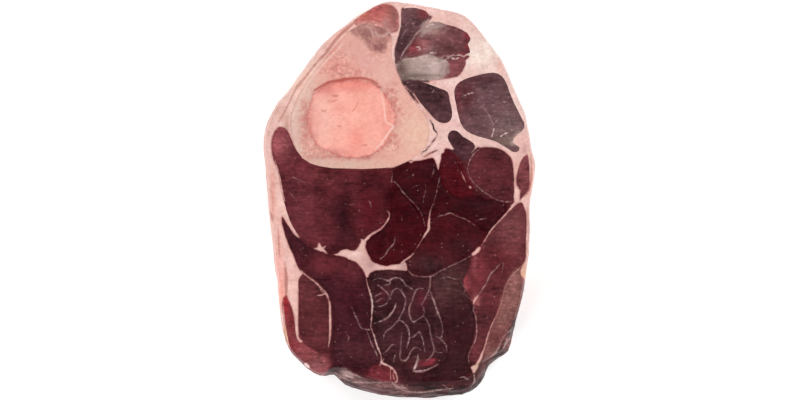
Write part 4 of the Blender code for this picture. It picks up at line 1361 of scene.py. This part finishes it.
# %% Dress the pieces
OWN_SLOTS = {
    "fat_web": "fat", "bone": "bone", "marrow": "marrow", "crest_cap": "crest_cap", "tendon": "tendon",
    "muscle_strip": "lean_dark", "muscle_wedge": "lean_dark", "muscle_small_dark": "lean_dark",
    "muscle_marbled": "lean_dark", "muscle_extensor": "lean_brown", "muscle_upper_right": "lean_brown",
    "muscle_right_inner": "lean_brown", "muscle_right_outer": "lean_brown",
    "muscle_extensor_low": "lean_bright", "muscle_bright": "lean_bright", "muscle_left_flap": "lean_bright",
}
CREASE = math.radians(55)

for node, piece in pieces.items():
    slot_name = OWN_SLOTS.get(node, "lean_maroon")
    piece.data.materials.clear()
    piece.data.materials.append(finishes[slot_name])
    piece.data.polygons.foreach_set("use_smooth", [True] * len(piece.data.polygons))
    piece.data.set_sharp_from_angle(angle=CREASE)
    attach(piece, "root")
    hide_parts(node)
print("pieces dressed:", len(pieces))

# %% [markdown]
# The photograph was taken from straight above on plain white. A far camera with a long lens
# keeps the sides hidden behind the cut face. Broad lamps stand low round the slice, so that
# the wet face mirrors a dim sky and its dark reds stay deep, and the pale floor fills the rest.

# %% Floor, light and camera
CAMERA_HEIGHT = 3.0
CAMERA_REACH = 100.0
TRUE_SCALE_LEVEL = 0.7            # the height, as a share of the slice's, where the scale is true
PHOTO_WIDTH = 800
SENSOR = 36.0
FLOOR_SIZE = 6.0
FLOOR_DROP = 0.1 * MM
PAPER_SHADE = 0.92
PAPER_ROUGHNESS = 0.9
PAPER_GLOW = 0.35
WHITE = (1.0, 1.0, 1.0, 1.0)
LAMP_DISTANCE = 0.9
LAMP_SIZE = 0.5
LAMPS = ((-130, 34, 3.5), (140, 38, 3.5), (35, 40, 3.5), (-50, 42, 2.9))      # turn, rise, power
SKY = 0.12

floor_mesh = bpy.data.meshes.new("floor")
bm = bmesh.new()
bmesh.ops.create_grid(bm, x_segments=1, y_segments=1, size=FLOOR_SIZE)
bm.to_mesh(floor_mesh)
bm.free()
floor = bpy.data.objects.new("floor", floor_mesh)
floor.location.z = -FLOOR_DROP
bpy.context.scene.collection.objects.link(floor)
paper, tree, shader = start_material("paper", (0.9, 0.9, 0.9, 1.0))
shader.inputs["Base Color"].default_value = (PAPER_SHADE, PAPER_SHADE, PAPER_SHADE, 1.0)
shader.inputs["Roughness"].default_value = PAPER_ROUGHNESS
shader.inputs["Emission Color"].default_value = WHITE
shader.inputs["Emission Strength"].default_value = PAPER_GLOW
floor_mesh.materials.append(paper)
target = Vector((0, 0, TOP))
for turn, rise, power in LAMPS:
    lamp = bpy.data.lights.new("lamp", "AREA")
    lamp.energy = power
    lamp.size = LAMP_SIZE
    stand = bpy.data.objects.new("lamp", lamp)
    level = math.radians(rise)
    way = math.radians(turn)
    stand.location = target + LAMP_DISTANCE * Vector((
        math.cos(level) * math.cos(way), math.cos(level) * math.sin(way), math.sin(level)))
    stand.rotation_euler = (target - stand.location).to_track_quat("-Z", "Y").to_euler()
    bpy.context.scene.collection.objects.link(stand)

world = bpy.data.worlds.new("studio")
world.use_nodes = True
bpy.context.scene.world = world
backdrop = world.node_tree.nodes["Background"]
seen = add(world.node_tree, "LightPath").outputs["Is Camera Ray"]
backdrop.inputs["Color"].default_value = WHITE
world.node_tree.links.new(ramp(world.node_tree, seen, 0.0, 1.0, SKY), backdrop.inputs["Strength"])

lens = bpy.data.cameras.new("camera")
lens.sensor_width = SENSOR
lens.lens = SENSOR * CAMERA_HEIGHT / (PHOTO_WIDTH * PIXEL)
lens.clip_end = CAMERA_REACH
camera = bpy.data.objects.new("camera", lens)
camera.location = ((PHOTO_WIDTH / 2 - CENTRE_PIXEL[0]) * PIXEL, 0, TRUE_SCALE_LEVEL * TOP + CAMERA_HEIGHT)
bpy.context.scene.collection.objects.link(camera)
bpy.context.scene.camera = camera
bpy.context.scene.view_settings.view_transform = "Standard"
print("lens:", round(lens.lens, 1), "mm")
